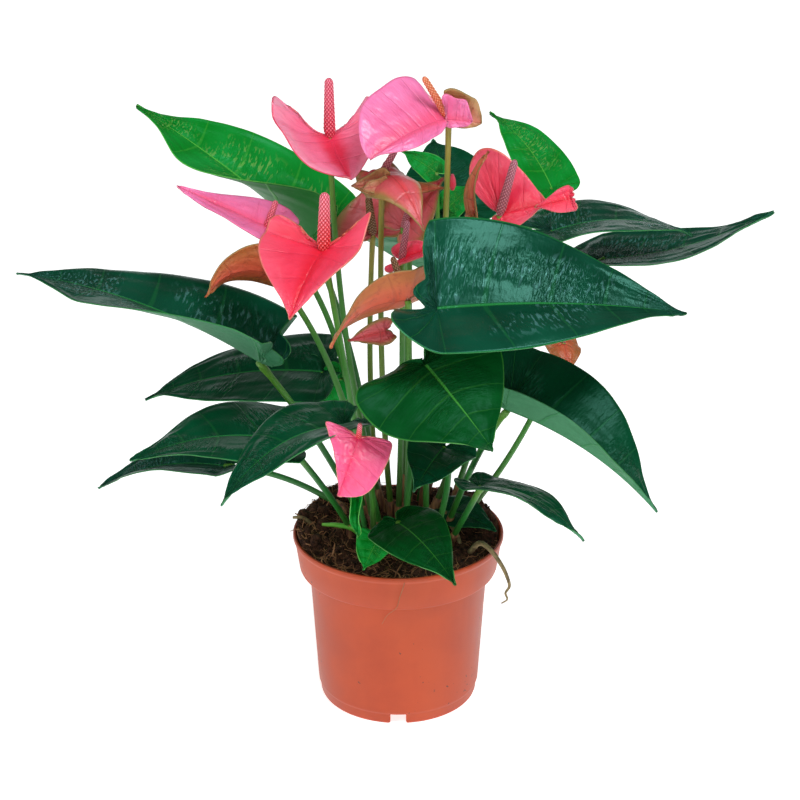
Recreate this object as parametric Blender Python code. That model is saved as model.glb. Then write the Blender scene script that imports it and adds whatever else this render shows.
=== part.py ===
"""A potted anthurium: a nursery pot of peat with leaves, aerial root and flowers, each its own solid.

The origin is on the pot's axis in the plane of its foot, with +Z up and -Y towards the front.
"""

import math

import bpy
import bmesh
from mathutils import Matrix, Vector

MM = 0.001

# The nursery pot, in millimetres. Its rim diameter is the size that the rest follows.
RIM_DIAMETER = 120.0
POT_HEIGHT = 101.0
RIM_BAND_HEIGHT = 21.5
RIM_BAND_TAPER = 3.5
BODY_TOP_RADIUS = 51.3
BODY_BOTTOM_RADIUS = 46.5
FOOT_RADIUS = 45.4
FOOT_HEIGHT = 6.6
WALL = 1.5
NOTCH_WIDTH = 8.8
NOTCH_COUNT = 4
DRAIN_HOLE_DIAMETER = 8.0
DRAIN_CIRCLE_RADIUS = 32.0
DRAIN_HOLE_COUNT = 8
POT_STEPS = 48

# The peat, which fills the pot to just under its lip and stands a little higher in the middle.
SOIL_EDGE_HEIGHT = 97.5
SOIL_MOUND = 5.5
SOIL_STEPS = 30
SOIL_RINGS = 6

# Room between pieces that touch.
GAP = 0.3

# Leaves, spathes and stems.
LEAF_THICKNESS = 1.0
SPATHE_THICKNESS = 0.9
STEM_RADIUS = 1.7
STEM_TAPER = 0.15
STEM_SIDES = 6
STEM_SPANS = 7
STEM_CLEARANCE = 3.0
STALK_SPARE = 1.0

# The knob in which a petiole ends, past the blade's middle surface.
KNOB_RISE = 1.2
KNOB_REACH = 0.8

# The spadix: its foot, and (share of the length, share of the thickness) up from there.
SPADIX_SIDES = 8
SPADIX_FOOT_RADIUS = 1.2
SPADIX_SPARE = 1.4
SPADIX_PROFILE = ((0.2, 1.0), (0.5, 0.92), (0.9, 0.72), (1.0, 0.3))
MIN_UPRIGHT = 0.35

# Half an outline, from the tip round the margin to the notch behind the collar. Each point is
# (distance along the midrib over the blade's length, distance from it over half the width).
LEAF_OUTLINE = (
    (1.0, 0.0), (0.9, 0.15), (0.75, 0.43), (0.53, 0.76), (0.27, 0.97),
    (0.02, 1.0), (-0.17, 0.83), (-0.26, 0.54), (-0.22, 0.24), (-0.05, 0.0),
)
SPATHE_OUTLINE = (
    (1.0, 0.0), (0.89, 0.14), (0.7, 0.42), (0.42, 0.78), (0.12, 0.99),
    (-0.16, 1.0), (-0.38, 0.82), (-0.42, 0.5), (-0.22, 0.16), (-0.04, 0.0),
)
# A leaf whose flanks are hollow towards the tip.
LOBED_OUTLINE = (
    (1.0, 0.0), (0.88, 0.09), (0.72, 0.24), (0.60, 0.38), (0.50, 0.68), (0.34, 0.95),
    (0.12, 1.0), (-0.14, 0.88), (-0.34, 0.82), (-0.44, 0.5), (-0.25, 0.12), (-0.05, 0.0),
)
# A spathe whose lobes run back into horns.
HORNED_OUTLINE = (
    (1.0, 0.0), (0.93, 0.08), (0.80, 0.27), (0.63, 0.55), (0.44, 0.82), (0.25, 0.98),
    (0.03, 1.03), (-0.25, 1.0), (-0.55, 0.88), (-0.30, 0.52), (-0.14, 0.24), (-0.02, 0.0),
)
# Single halves of a spathe: widest in its middle, full nearly to the tip, and hollow.
SLENDER_OUTLINE = (
    (1.0, 0.0), (0.93, 0.12), (0.80, 0.45), (0.65, 0.80), (0.50, 1.0), (0.35, 0.95), (0.20, 0.70),
    (0.08, 0.38), (0.0, 0.12), (-0.02, 0.0),
)
SQUARE_OUTLINE = (
    (1.0, 0.0), (0.95, 0.35), (0.84, 0.68), (0.67, 0.86), (0.36, 0.97), (0.05, 1.0),
    (-0.12, 0.92), (-0.08, 0.5), (0.0, 0.0),
)
SCOOP_OUTLINE = (
    (1.0, 0.0), (0.84, 0.11), (0.66, 0.25), (0.48, 0.41), (0.27, 0.62), (0.08, 0.86),
    (-0.08, 1.0), (-0.10, 0.55), (0.0, 0.0),
)
# One half of a spathe that stays full from the sinus to near the tip.
FULL_OUTLINE = (
    (1.0, 0.0), (0.95, 0.36), (0.78, 0.74), (0.61, 0.91), (0.42, 0.97), (0.22, 1.0), (0.05, 0.86),
    (0.06, 0.55), (0.04, 0.28), (-0.02, 0.0),
)
# One half of a leaf with a broad round lobe.
ROUND_LOBE_OUTLINE = (
    (1.0, 0.0), (0.94, 0.065), (0.845, 0.22), (0.71, 0.48), (0.52, 0.76), (0.28, 0.97),
    (0.02, 1.06), (-0.20, 1.02), (-0.34, 0.76), (-0.28, 0.36), (-0.05, 0.0),
)
# How far behind its point on the margin a side vein leaves the midrib, over the half width.
VEIN_LEAN = 0.3
# The share of the midrib by which a blade has opened from its fold.
OPEN_BY = 2 / 3
# Behind the collar, the share of the width in which both lobes still meet along one seam.
SEAM_SHARE = 0.15
# The share of the length behind the collar at which a lobe has its whole lift.
LIFT_BY = 0.25

# The leaves, in millimetres and degrees. root: where the petiole leaves the peat. via: a point
# halfway up the petiole. collar: where petiole and blade join. tip: the blade's end. faces: where
# the upper surface looks. arch: how far the midrib bows up. outline: one for both halves or a pair,
# when it isn't the usual one. The rest is for the (left, right) half. width: twice the half's
# greatest width. fold: the angle that it rises at, at the collar. open: that angle from OPEN_BY
# on. cup: the angle added by the margin. lift: how far the lobe behind the collar rises. lobes:
# that lobe's length over the outline's.
LEAVES = {
    "leaf_top_left": dict(
        root=(-12, 30), via=(-26, 36, 190), collar=(-48, 30, 265), tip=(-145, 64, 331),
        faces=(5, -32, 95), width=(80, 80), arch=4, fold=(80, 18), open=(10, 8), cup=(0, -6),
        lift=(4, 4), lobes=(0.1, 0.3),
    ),
    "leaf_left": dict(
        root=(-20, 2), via=(-44, -20, 165), collar=(-73, -38, 219), tip=(-208, 10, 252),
        faces=(5, -14, 100), width=(84, 84), arch=9, fold=(50, 14), open=(10, 5), cup=(0, -4),
        lift=(6, 12), lobes=(0.1, 0.0),
    ),
    "leaf_left_middle": dict(
        root=(-19, 18), via=(-27, 16, 148), collar=(-43, 24, 188), tip=(-145, 34, 167),
        faces=(-20, -22, 100), width=(70, 70), arch=8, fold=(12, 10), open=(6, 6), cup=(-14, -14),
        lift=(0, 0), lobes=(0.3, 0.3),
    ),
    "leaf_left_lower": dict(
        root=(-27, -6), via=(-42, -28, 142), collar=(-60, -45, 177), tip=(-141, -63, 173),
        faces=(-14, -18, 100), width=(64, 64), arch=8, fold=(14, 14), open=(10, 6), cup=(-10, -14),
        lift=(0, 0), lobes=(0.3, 0.3),
    ),
    "leaf_front_left": dict(
        root=(-10, -12), via=(-18, -38, 155), collar=(-28, -62, 193), tip=(-90, -104, 167),
        faces=(-35, -25, 90), width=(56, 56), arch=12, fold=(30, 10), open=(8, 4), cup=(-14, -10),
        lift=(0, 0), lobes=(0.1, 0.6),
    ),
    "leaf_left_back": dict(
        root=(-31, 20), via=(-66, 32, 118), collar=(-101, 40, 122), tip=(-179, 60, 98),
        faces=(-20, -10, 100), width=(42, 42), arch=8, fold=(20, 20), open=(20, 20), cup=(0, 0),
        lift=(0, 0), lobes=(0.8, 0.8),
    ),
    "leaf_right_large": dict(
        root=(16, -6), via=(16, -36, 190), collar=(20, -70, 261), tip=(148, -58, 254),
        faces=(0, -52, 85), width=(94, 78), arch=6, fold=(28, 24), open=(10, 26), cup=(-8, -16),
        lift=(2, 11), lobes=(0.15, 0.7), outline=(LEAF_OUTLINE, ROUND_LOBE_OUTLINE),
    ),
    "leaf_centre": dict(
        root=(4, -16), via=(8, -42, 175), collar=(14, -84, 236), tip=(47, -122, 206),
        faces=(0, -57, 73), width=(72, 84), arch=2, fold=(6, 6), open=(0, 0), cup=(-10, -10),
        lift=(-5, -4), lobes=(0.68, 0.7), outline=LOBED_OUTLINE,
    ),
    "leaf_right_lower": dict(
        root=(28, -2), via=(43, -30, 160), collar=(57, -50, 197), tip=(136, -75, 149),
        faces=(25, -62, 70), width=(80, 28), arch=12, fold=(14, 105), open=(6, 95), cup=(-10, 0),
        lift=(2, 2), lobes=(0.8, 0.8),
    ),
    "leaf_right_back": dict(
        root=(32, 28), via=(68, 48, 190), collar=(117, 60, 243), tip=(210, 52, 274),
        faces=(-30, -2, 95), width=(54, 54), arch=-6, fold=(12, 12), open=(4, 4), cup=(0, 0),
        lift=(0, 0), lobes=(1.0, 1.0),
    ),
    "leaf_right_upper": dict(
        root=(24, 28), via=(50, 34, 190), collar=(85, 34, 268), tip=(165, 48, 261),
        faces=(5, -2, 100), width=(56, 56), arch=8, fold=(12, 12), open=(6, 6), cup=(-8, -8),
        lift=(0, 0), lobes=(1.0, 1.0),
    ),
    "leaf_top_right": dict(
        root=(16, 38), via=(50, 64, 200), collar=(88, 82, 278), tip=(53, 110, 315),
        faces=(50, -60, 60), width=(38, 42), arch=6, fold=(10, 10), open=(6, 6), cup=(-6, -6),
        lift=(0, 0), lobes=(0.5, 0.5),
    ),
    "leaf_top_back": dict(
        root=(6, 34), via=(22, 44, 195), collar=(32, 64, 270), tip=(20, 106, 300),
        faces=(0, -60, 70), width=(58, 58), arch=4, fold=(8, 8), open=(6, 6), cup=(-6, -6),
        lift=(0, 0), lobes=(0.8, 0.8),
    ),
    "leaf_small_centre": dict(
        root=(20, -20), via=(27, -36, 148), collar=(24, -66, 182), tip=(8, -100, 173),
        faces=(10, -50, 90), width=(36, 36), arch=4, fold=(14, 14), open=(10, 10), cup=(0, 0),
        lift=(4, 4), lobes=(0.8, 0.8),
    ),
    "leaf_right_low": dict(
        root=(30, -16), via=(38, -32, 128), collar=(44, -42, 148), tip=(97, -85, 137),
        faces=(20, 0, 100), width=(30, 30), arch=9, fold=(10, 14), open=(6, 6), cup=(-8, -8),
        lift=(0, 0), lobes=(0.6, 0.6),
    ),
    "leaf_front_low": dict(
        root=(-4, -26), via=(-2, -36, 120), collar=(0, -50, 130), tip=(30, -100, 119),
        faces=(0, -50, 85), width=(40, 38), arch=6, fold=(4, 4), open=(0, 0), cup=(-12, -12),
        lift=(0, 0), lobes=(0.5, 0.5),
    ),
    "leaf_back_left": dict(
        root=(-27, 37), via=(-36, 52, 130), collar=(-45, 66, 160), tip=(-86, 90, 150),
        faces=(-20, -10, 95), width=(52, 52), arch=8, fold=(10, 10), open=(6, 6), cup=(-8, -8),
        lift=(0, 0), lobes=(1.0, 1.0),
    ),
    "leaf_back_right": dict(
        root=(4, 44), via=(6, 64, 180), collar=(6, 78, 246), tip=(28, 118, 204),
        faces=(10, 60, 80), width=(64, 64), arch=8, fold=(10, 10), open=(6, 6), cup=(-8, -8),
        lift=(0, 0), lobes=(1.0, 1.0),
    ),
}

# The flowers, in the same terms. spadix: where the spadix ends. thick: the radius of the spadix.
FLOWERS = {
    "flower_1": dict(
        root=(-9, 20), via=(-28, 8, 210), collar=(-36, 2, 331), tip=(-24, -36, 319),
        faces=(0, -40, 90), width=(61, 72), arch=-3, fold=(10, 14), open=(6, 7), cup=(50, 44),
        lift=(2, 8), lobes=(0.45, 0.7), outline=HORNED_OUTLINE, spadix=(-36, 2, 362), thick=3.1,
    ),
    "flower_2": dict(
        root=(14, 24), via=(23, 4, 230), collar=(26, -10, 344), tip=(-14, -45, 332),
        faces=(-20, -65, 60), width=(20, 62), arch=4, fold=(0, 14), open=(0, 10), cup=(0, 0),
        lift=(0, 0), lobes=(0.05, 0.1), outline=(SLENDER_OUTLINE, FULL_OUTLINE),
        spadix=(13, -16, 367), thick=2.2,
    ),
    "flower_3": dict(
        root=(-14, -4), via=(-26, -26, 195), collar=(-38, -50, 286), tip=(-54, -82, 260),
        faces=(-15, -60, 70), width=(42, 64), arch=4, fold=(18, -2), open=(24, 2), cup=(4, 10),
        lift=(0, 6), lobes=(0.9, 0.3), outline=HORNED_OUTLINE, spadix=(-37, -50, 316), thick=3.4,
    ),
    "flower_4": dict(
        root=(-24, 32), via=(-34, 12, 210), collar=(-69, -16, 287), tip=(-117, 0, 304),
        faces=(10, -28, 90), width=(32, 32), arch=0, fold=(16, 16), open=(10, 10), cup=(0, 0),
        lift=(0, 0), lobes=(0.6, 0.6), spadix=(-64, -12, 300), thick=2.0,
    ),
    "flower_5": dict(
        root=(-16, 10), via=(-35, -12, 200), collar=(-66, -30, 266), tip=(-100, -44, 258),
        faces=(-10, 80, 60), width=(40, 40), arch=8, fold=(10, 10), open=(10, 10), cup=(14, 14),
        lift=(0, 0), lobes=(0.6, 0.6), spadix=(-72, -19, 276), thick=2.4,
    ),
    "flower_6": dict(
        root=(-4, 12), via=(-9, 0, 204), collar=(-8, -14, 316), tip=(13, -50, 296),
        faces=(0, -30, 90), width=(30, 34), arch=8, fold=(-6, -10), open=(0, 0), cup=(-40, -60),
        lift=(-4, -4), lobes=(0.8, 0.8), spadix=(2, -14, 334), thick=2.0,
    ),
    "flower_7": dict(
        root=(-12, 38), via=(-16, 40, 180), collar=(-14, 30, 268), tip=(-18, 46, 290),
        faces=(0, -60, 60), width=(48, 44), arch=0, fold=(10, 10), open=(10, 10), cup=(0, 0),
        lift=(0, 0), lobes=(0.4, 0.4), spadix=(-16, 16, 293), thick=2.6,
    ),
    "flower_8": dict(
        root=(4, 20), via=(4, 18, 190), collar=(3, 14, 277), tip=(24, 2, 308),
        faces=(-30, -60, 40), width=(36, 36), arch=0, fold=(12, 12), open=(10, 10), cup=(0, 0),
        lift=(0, 0), lobes=(0.6, 0.6), spadix=(8, 0, 300), thick=2.0,
    ),
    "flower_9": dict(
        root=(0, 8), via=(2, -4, 190), collar=(2, -18, 270), tip=(20, -28, 280),
        faces=(-10, -40, 85), width=(22, 22), arch=0, fold=(14, 14), open=(10, 10), cup=(0, 0),
        lift=(0, 0), lobes=(0.8, 0.8), spadix=(5, -18, 291), thick=2.0,
    ),
    "flower_10": dict(
        root=(4, -6), via=(6, -26, 185), collar=(5, -43, 256), tip=(-34, -76, 242),
        faces=(-10, 80, 60), width=(40, 40), arch=8, fold=(10, 10), open=(10, 10), cup=(14, 14),
        lift=(0, 0), lobes=(0.6, 0.6), spadix=(-3, -33, 276), thick=2.2,
    ),
    "flower_11": dict(
        root=(20, 14), via=(46, 8, 200), collar=(54, -4, 290), tip=(79, -12, 299),
        faces=(-5, -75, 45), width=(72, 20), arch=0, fold=(0, 0), open=(0, 0), cup=(14, 0),
        lift=(0, 0), lobes=(1.1, 0.6), spadix=(61, -12, 322), thick=2.6,
    ),
    "flower_12": dict(
        root=(-14, -22), via=(-15, -49, 160), collar=(-20, -95, 201), tip=(-30, -110, 175),
        faces=(0, -80, 30), width=(36, 36), arch=3, fold=(0, 0), open=(0, 0), cup=(-6, -6),
        lift=(0, 0), lobes=(1.0, 1.0), outline=(SQUARE_OUTLINE, SCOOP_OUTLINE),
        spadix=(-19, -101, 211), thick=1.5,
    ),
    "flower_13": dict(
        root=(36, 6), via=(70, 20, 150), collar=(93, 30, 204), tip=(95, 14, 190),
        faces=(20, -50, 40), width=(22, 22), arch=2, fold=(-10, -10), open=(0, 0), cup=(-10, -10),
        lift=(0, 0), lobes=(1.0, 1.0), spadix=(90, 24, 226), thick=2.0,
    ),
}

# The aerial root, along points chosen by hand: out of a crown, over the rim and down outside it.
AERIAL_ROOT = (
    (40, -28, 104), (45, -35, 111), (51, -42, 109), (57, -47, 101.5), (59, -49, 92), (57, -49, 84),
)
AERIAL_ROOT_RADIUS = 1.3


def clear_scene():
    for obj in list(bpy.data.objects):
        bpy.data.objects.remove(obj, do_unlink=True)


def principled(name, colour, roughness):
    material = bpy.data.materials.new(name)
    material.use_nodes = True
    shader = material.node_tree.nodes["Principled BSDF"]
    shader.inputs["Base Color"].default_value = (*colour, 1.0)
    shader.inputs["Roughness"].default_value = roughness
    shader.inputs["Metallic"].default_value = 0.0
    material.diffuse_color = (*colour, 1.0)
    return material


def add_object(name, bm, material, helper=False):
    """Make an object from a bmesh whose vertices are in millimetres."""
    bmesh.ops.scale(bm, vec=(MM, MM, MM), verts=bm.verts)
    mesh = bpy.data.meshes.new(name)
    bm.to_mesh(mesh)
    bm.free()
    mesh.shade_smooth()
    mesh.set_sharp_from_angle(angle=math.radians(40))
    obj = bpy.data.objects.new(name, mesh)
    bpy.context.scene.collection.objects.link(obj)
    if helper:
        obj.hide_render = True
        obj.display_type = "WIRE"
    else:
        mesh.materials.append(material)
    return obj


def add_boolean(obj, other, operation):
    modifier = obj.modifiers.new(other.name, "BOOLEAN")
    modifier.object = other
    modifier.operation = operation
    modifier.solver = "EXACT"


def turn_profile(profile, steps):
    """Spin a closed profile of (radius, height) points about Z into a closed body."""
    bm = bmesh.new()
    verts = [bm.verts.new((radius, 0.0, height)) for radius, height in profile]
    edges = [bm.edges.new((verts[i - 1], verts[i])) for i in range(len(verts))]
    bmesh.ops.spin(
        bm, geom=verts + edges, cent=(0, 0, 0), axis=(0, 0, 1), angle=math.tau, steps=steps,
        use_merge=True,
    )
    bmesh.ops.remove_doubles(bm, verts=bm.verts, dist=1e-4)
    bmesh.ops.recalc_face_normals(bm, faces=bm.faces)
    return bm


# ---------------------------------------------------------------------------- pot


def inner_radius(height):
    """The radius of the pot's inside at a height."""
    floor = FOOT_HEIGHT + WALL
    shoulder = POT_HEIGHT - RIM_BAND_HEIGHT
    if height < shoulder:
        share = (height - floor) / (shoulder - floor)
        return BODY_BOTTOM_RADIUS + share * (BODY_TOP_RADIUS - BODY_BOTTOM_RADIUS) - WALL
    share = (height - shoulder) / RIM_BAND_HEIGHT
    return RIM_DIAMETER / 2 - WALL - RIM_BAND_TAPER * (1 - share)


def pot_profile():
    """The wall's section: up the outside, over the lip and down the inside to the floor."""
    rim = RIM_DIAMETER / 2
    shoulder = POT_HEIGHT - RIM_BAND_HEIGHT
    floor = FOOT_HEIGHT + WALL
    return (
        (FOOT_RADIUS - 1.0, 0.0),
        (FOOT_RADIUS, 1.2),
        (FOOT_RADIUS + 0.3, FOOT_HEIGHT),
        (BODY_BOTTOM_RADIUS, FOOT_HEIGHT + 0.8),
        (BODY_TOP_RADIUS, shoulder - 1.5),
        (BODY_TOP_RADIUS + 1.2, shoulder),
        (rim - RIM_BAND_TAPER, shoulder),
        (rim - 0.6, POT_HEIGHT - 3.0),
        (rim, POT_HEIGHT - 1.2),
        (rim - 0.5, POT_HEIGHT),
        (rim - WALL, POT_HEIGHT),
        (inner_radius(shoulder), shoulder),
        (inner_radius(shoulder - 1.5), shoulder - 1.5),
        (inner_radius(floor), floor),
        (0.0, floor),
        (0.0, FOOT_HEIGHT),
        (FOOT_RADIUS - 2.2, FOOT_HEIGHT),
        (FOOT_RADIUS - 3.0, 0.0),
    )


def make_pot():
    material = principled("terracotta_plastic", (0.55, 0.105, 0.05), 0.45)
    pot = add_object("pot", turn_profile(pot_profile(), POT_STEPS), material)

    notches = bmesh.new()
    for index in range(NOTCH_COUNT):
        turn = Matrix.Rotation(math.tau * index / NOTCH_COUNT - math.pi / 2, 3, "Z")
        made = bmesh.ops.create_cube(notches, size=1.0)["verts"]
        bmesh.ops.scale(notches, vec=(12.0, NOTCH_WIDTH, 2 * (FOOT_HEIGHT - 0.2)), verts=made)
        bmesh.ops.translate(notches, vec=(FOOT_RADIUS, 0, 0), verts=made)
        bmesh.ops.rotate(notches, cent=(0, 0, 0), matrix=turn, verts=made)
    add_boolean(pot, add_object("foot_notches", notches, None, helper=True), "DIFFERENCE")

    holes = bmesh.new()
    for index in range(DRAIN_HOLE_COUNT):
        angle = math.tau * (index + 0.5) / DRAIN_HOLE_COUNT
        made = bmesh.ops.create_cone(
            holes, cap_ends=True, segments=8, radius1=DRAIN_HOLE_DIAMETER / 2,
            radius2=DRAIN_HOLE_DIAMETER / 2, depth=8 * WALL,
        )["verts"]
        place = (
            DRAIN_CIRCLE_RADIUS * math.cos(angle), DRAIN_CIRCLE_RADIUS * math.sin(angle),
            FOOT_HEIGHT + WALL / 2,
        )
        bmesh.ops.translate(holes, vec=place, verts=made)
    add_boolean(pot, add_object("drain_holes", holes, None, helper=True), "DIFFERENCE")


# ---------------------------------------------------------------------------- soil


def soil_height(x, y):
    """The peat's top: a low mound, higher towards the back, with soft lumps."""
    share = min(1.0, math.hypot(x, y) / (RIM_DIAMETER / 2 - WALL))
    mound = SOIL_MOUND * (1 - share**2) + 2.0 * share * y / (RIM_DIAMETER / 2)
    lumps = 1.1 * math.sin(0.19 * x + 1.0) * math.cos(0.23 * y) + 0.8 * math.sin(0.4 * x - 0.33 * y)
    return SOIL_EDGE_HEIGHT + mound + lumps


def make_soil():
    material = principled("peat", (0.035, 0.02, 0.014), 0.95)
    bottom = FOOT_HEIGHT + WALL + GAP
    shoulder = POT_HEIGHT - RIM_BAND_HEIGHT
    clearance = GAP + 0.1
    edge = inner_radius(SOIL_EDGE_HEIGHT - 3.0) - clearance
    side = (
        (0.0, bottom),
        (inner_radius(bottom) - clearance, bottom),
        (inner_radius(shoulder - 2.5) - clearance, shoulder - 1.5),
        (inner_radius(shoulder) - clearance, shoulder + 0.5),
        (edge, SOIL_EDGE_HEIGHT - 3.0),
    )
    top = [(edge * (1 - i / SOIL_RINGS), SOIL_EDGE_HEIGHT) for i in range(SOIL_RINGS + 1)]
    bm = turn_profile(side + tuple(top[:-1]) + ((0.0, SOIL_EDGE_HEIGHT),), SOIL_STEPS)
    for vert in bm.verts:
        if vert.co.z > SOIL_EDGE_HEIGHT - 0.01:
            vert.co.z = soil_height(vert.co.x, vert.co.y)
    add_object("soil", bm, material)


# ---------------------------------------------------------------------------- blades


def outline_point(outline, share):
    """A point on the smooth curve through the outline's points, for a share from 0 to 1."""
    last = len(outline) - 1
    at = min(share * last, last - 1e-6)
    index = int(at)
    t = at - index
    mirrored_start = (outline[1][0], -outline[1][1])
    mirrored_end = (outline[last - 1][0], -outline[last - 1][1])
    points = (mirrored_start,) + outline + (mirrored_end,)
    return tuple(
        b + 0.5 * t * (c - a + t * (2 * a - 5 * b + 4 * c - d + t * (3 * (b - c) + d - a)))
        for a, b, c, d in zip(*points[index:index + 4])
    )


def blade_axes(row):
    """The blade's directions at its collar: towards the tip, to the right and up."""
    along = Vector(row["tip"]) - Vector(row["collar"])
    along.normalize()
    up = Vector(row["faces"])
    up = (up - up.dot(along) * along).normalized()
    return along, along.cross(up), up


def bend(row, length, u, v):
    """The place of a point of the flat blade, u along the midrib and v to the right of it."""
    along, right, up = blade_axes(row)
    collar, tip = Vector(row["collar"]), Vector(row["tip"])
    half = 0 if v < 0 else 1
    out = abs(v)
    behind = min(u, 0.0)
    inside = max(u, 0.0) / length

    # The midrib is a parabola from collar to tip, and runs straight on behind the collar.
    middle = (collar + tip) / 2 + row["arch"] * 2 * up
    spine = curve_point((collar, middle, tip), inside)
    heading = ((middle - collar) * (1 - inside) + (tip - middle) * inside).normalized()
    seam = max(0.0, 1 - out / (SEAM_SHARE * row["width"][half]))
    spine += along * behind * (seam + (1 - seam) * row["lobes"][half])

    # Across the midrib each half is an arc, which starts at the fold's angle.
    side = (right - right.dot(heading) * heading).normalized()
    over = side.cross(heading)
    opened = min(1.0, inside / OPEN_BY)
    fold = math.radians(row["fold"][half] * (1 - opened) + row["open"][half] * opened)
    curl = math.radians(row["cup"][half]) / (row["width"][half] / 2)
    if abs(curl) < 1e-6:
        reach, rise = out * math.cos(fold), out * math.sin(fold)
    else:
        reach = (math.sin(fold + curl * out) - math.sin(fold)) / curl
        rise = (math.cos(fold) - math.cos(fold + curl * out)) / curl
    rise += row["lift"][half] * min(1.0, (behind / length / LIFT_BY) ** 2)
    return spine + side * math.copysign(reach, v) + over * rise


def blade_mesh(row, usual_outline, ribs, rings):
    """A blade as one thin sheet, its ribs running out along the side veins to the margin."""
    length = (Vector(row["tip"]) - Vector(row["collar"])).length
    outlines = row.get("outline", usual_outline)
    if len(outlines) != 2:
        outlines = (outlines, outlines)
    lean = VEIN_LEAN * sum(row["width"]) / 4 / length
    bm = bmesh.new()
    bmesh.ops.create_grid(bm, x_segments=2 * ribs, y_segments=rings, size=1.0)
    for vert in bm.verts:
        edges = [outline_point(outline, abs(vert.co.x)) for outline in outlines]
        edge_u, edge_v = edges[int(vert.co.x > 0)]
        foot_u = max(sum(u - lean * v for u, v in edges) / 2, 0.0)
        if abs(vert.co.x) == 1.0:
            foot_u = edge_u
        half_width = row["width"][int(vert.co.x > 0)] / 2
        out = (vert.co.y + 1) / 2
        u = (foot_u + out * (edge_u - foot_u)) * length
        vert.co = bend(row, length, u, math.copysign(out * edge_v, vert.co.x) * half_width)
    bmesh.ops.remove_doubles(bm, verts=bm.verts, dist=0.01)
    return bm


def curve_point(points, t):
    """A point on the Bezier curve with these control points."""
    points = [Vector(p) for p in points]
    while len(points) > 1:
        points = [a.lerp(b, t) for a, b in zip(points, points[1:])]
    return points[0]


def tube_mesh(path, radii, sides):
    """A closed round tube through a list of points, with a radius at each."""
    bm = bmesh.new()
    heading = (path[1] - path[0]).normalized()
    turn = Vector((0, 0, 1)).rotation_difference(heading).to_matrix()
    ring = bmesh.ops.create_circle(bm, cap_ends=True, segments=sides, radius=radii[0])["verts"]
    bmesh.ops.rotate(bm, cent=(0, 0, 0), matrix=turn, verts=ring)
    bmesh.ops.translate(bm, vec=path[0], verts=ring)
    cap = bm.faces[:][0]
    for index in range(1, len(path)):
        before = heading
        heading = (path[min(index + 1, len(path) - 1)] - path[index - 1]).normalized()
        turn = before.rotation_difference(heading).to_matrix()
        scale = radii[index] / radii[index - 1]
        made = bmesh.ops.extrude_face_region(bm, geom=[cap])["geom"]
        ring = [item for item in made if isinstance(item, bmesh.types.BMVert)]
        if index > 1:
            bm.faces.remove(cap)
        cap = next(item for item in made if isinstance(item, bmesh.types.BMFace))
        bmesh.ops.translate(bm, vec=path[index] - path[index - 1], verts=ring)
        about = Matrix.Translation(-path[index])
        bmesh.ops.scale(bm, vec=(scale, scale, scale), verts=ring, space=about)
        bmesh.ops.rotate(bm, cent=path[index], matrix=turn, verts=ring)
    bmesh.ops.recalc_face_normals(bm, faces=bm.faces)
    return bm


def stem_path(row, end):
    """Points up a stem from just above the peat to its end, by way of the row's halfway point."""
    x, y = row["root"]
    start = Vector((x, y, soil_height(x, y) + STEM_CLEARANCE))
    control = 2 * Vector(row["via"]) - (start + end) / 2
    return [curve_point((start, control, end), i / STEM_SPANS) for i in range(STEM_SPANS + 1)]


# ---------------------------------------------------------------------------- leaves and flowers


def add_thickness(obj, thickness):
    solidify = obj.modifiers.new("thickness", "SOLIDIFY")
    solidify.thickness = thickness * MM
    solidify.offset = 0.0


def make_leaf(name, row, material):
    """A blade with its petiole, which grow as one piece."""
    leaf = add_object(name, blade_mesh(row, LEAF_OUTLINE, ribs=8, rings=3), material)
    add_thickness(leaf, LEAF_THICKNESS)
    along, _, up = blade_axes(row)
    path = stem_path(row, Vector(row["collar"]) + KNOB_RISE * up + KNOB_REACH * along)
    radii = [STEM_RADIUS * (1 + STEM_TAPER * (1 - i / STEM_SPANS)) for i in range(len(path))]
    petiole = add_object(name + "_petiole", tube_mesh(path, radii, STEM_SIDES), None, helper=True)
    add_boolean(leaf, petiole, "UNION")


def make_flower(name, row, materials):
    """A stalk, the spathe across its top and the spadix above, a hair's breadth apart."""
    sheet = blade_mesh(row, SPATHE_OUTLINE, ribs=7, rings=3)
    spathe = add_object(name + "_spathe", sheet, materials["spathe"])
    add_thickness(spathe, SPATHE_THICKNESS)

    # A round end of radius r, leaning at this slope over the sheet, needs r * slope more room.
    collar = Vector(row["collar"])
    spadix_end = Vector(row["spadix"])
    axis = (spadix_end - collar).normalized()
    upright = max(MIN_UPRIGHT, axis.dot(blade_axes(row)[2]))
    slope = math.sqrt(1 - min(1.0, upright) ** 2) / upright
    room = (SPATHE_THICKNESS / 2 + GAP) / upright

    path = stem_path(row, collar - axis * (room + STEM_RADIUS * slope + STALK_SPARE))
    radii = [STEM_RADIUS * (1 + STEM_TAPER * (1 - i / STEM_SPANS)) for i in range(len(path))]
    add_object(name + "_stalk", tube_mesh(path, radii, STEM_SIDES), materials["stalk"])

    start = collar + axis * (room + SPADIX_FOOT_RADIUS * slope + SPADIX_SPARE)
    shape = ((0.0, SPADIX_FOOT_RADIUS / row["thick"]),) + SPADIX_PROFILE
    path = [start.lerp(spadix_end, share) for share, _ in shape]
    radii = [row["thick"] * radius for _, radius in shape]
    add_object(name + "_spadix", tube_mesh(path, radii, SPADIX_SIDES), materials["spadix"])


def make_aerial_root():
    material = principled("root", (0.28, 0.2, 0.1), 0.8)
    path = [Vector(p) for p in AERIAL_ROOT]
    radii = [AERIAL_ROOT_RADIUS * (1 - 0.1 * i) for i in range(len(path))]
    add_object("aerial_root", tube_mesh(path, radii, STEM_SIDES), material)


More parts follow.
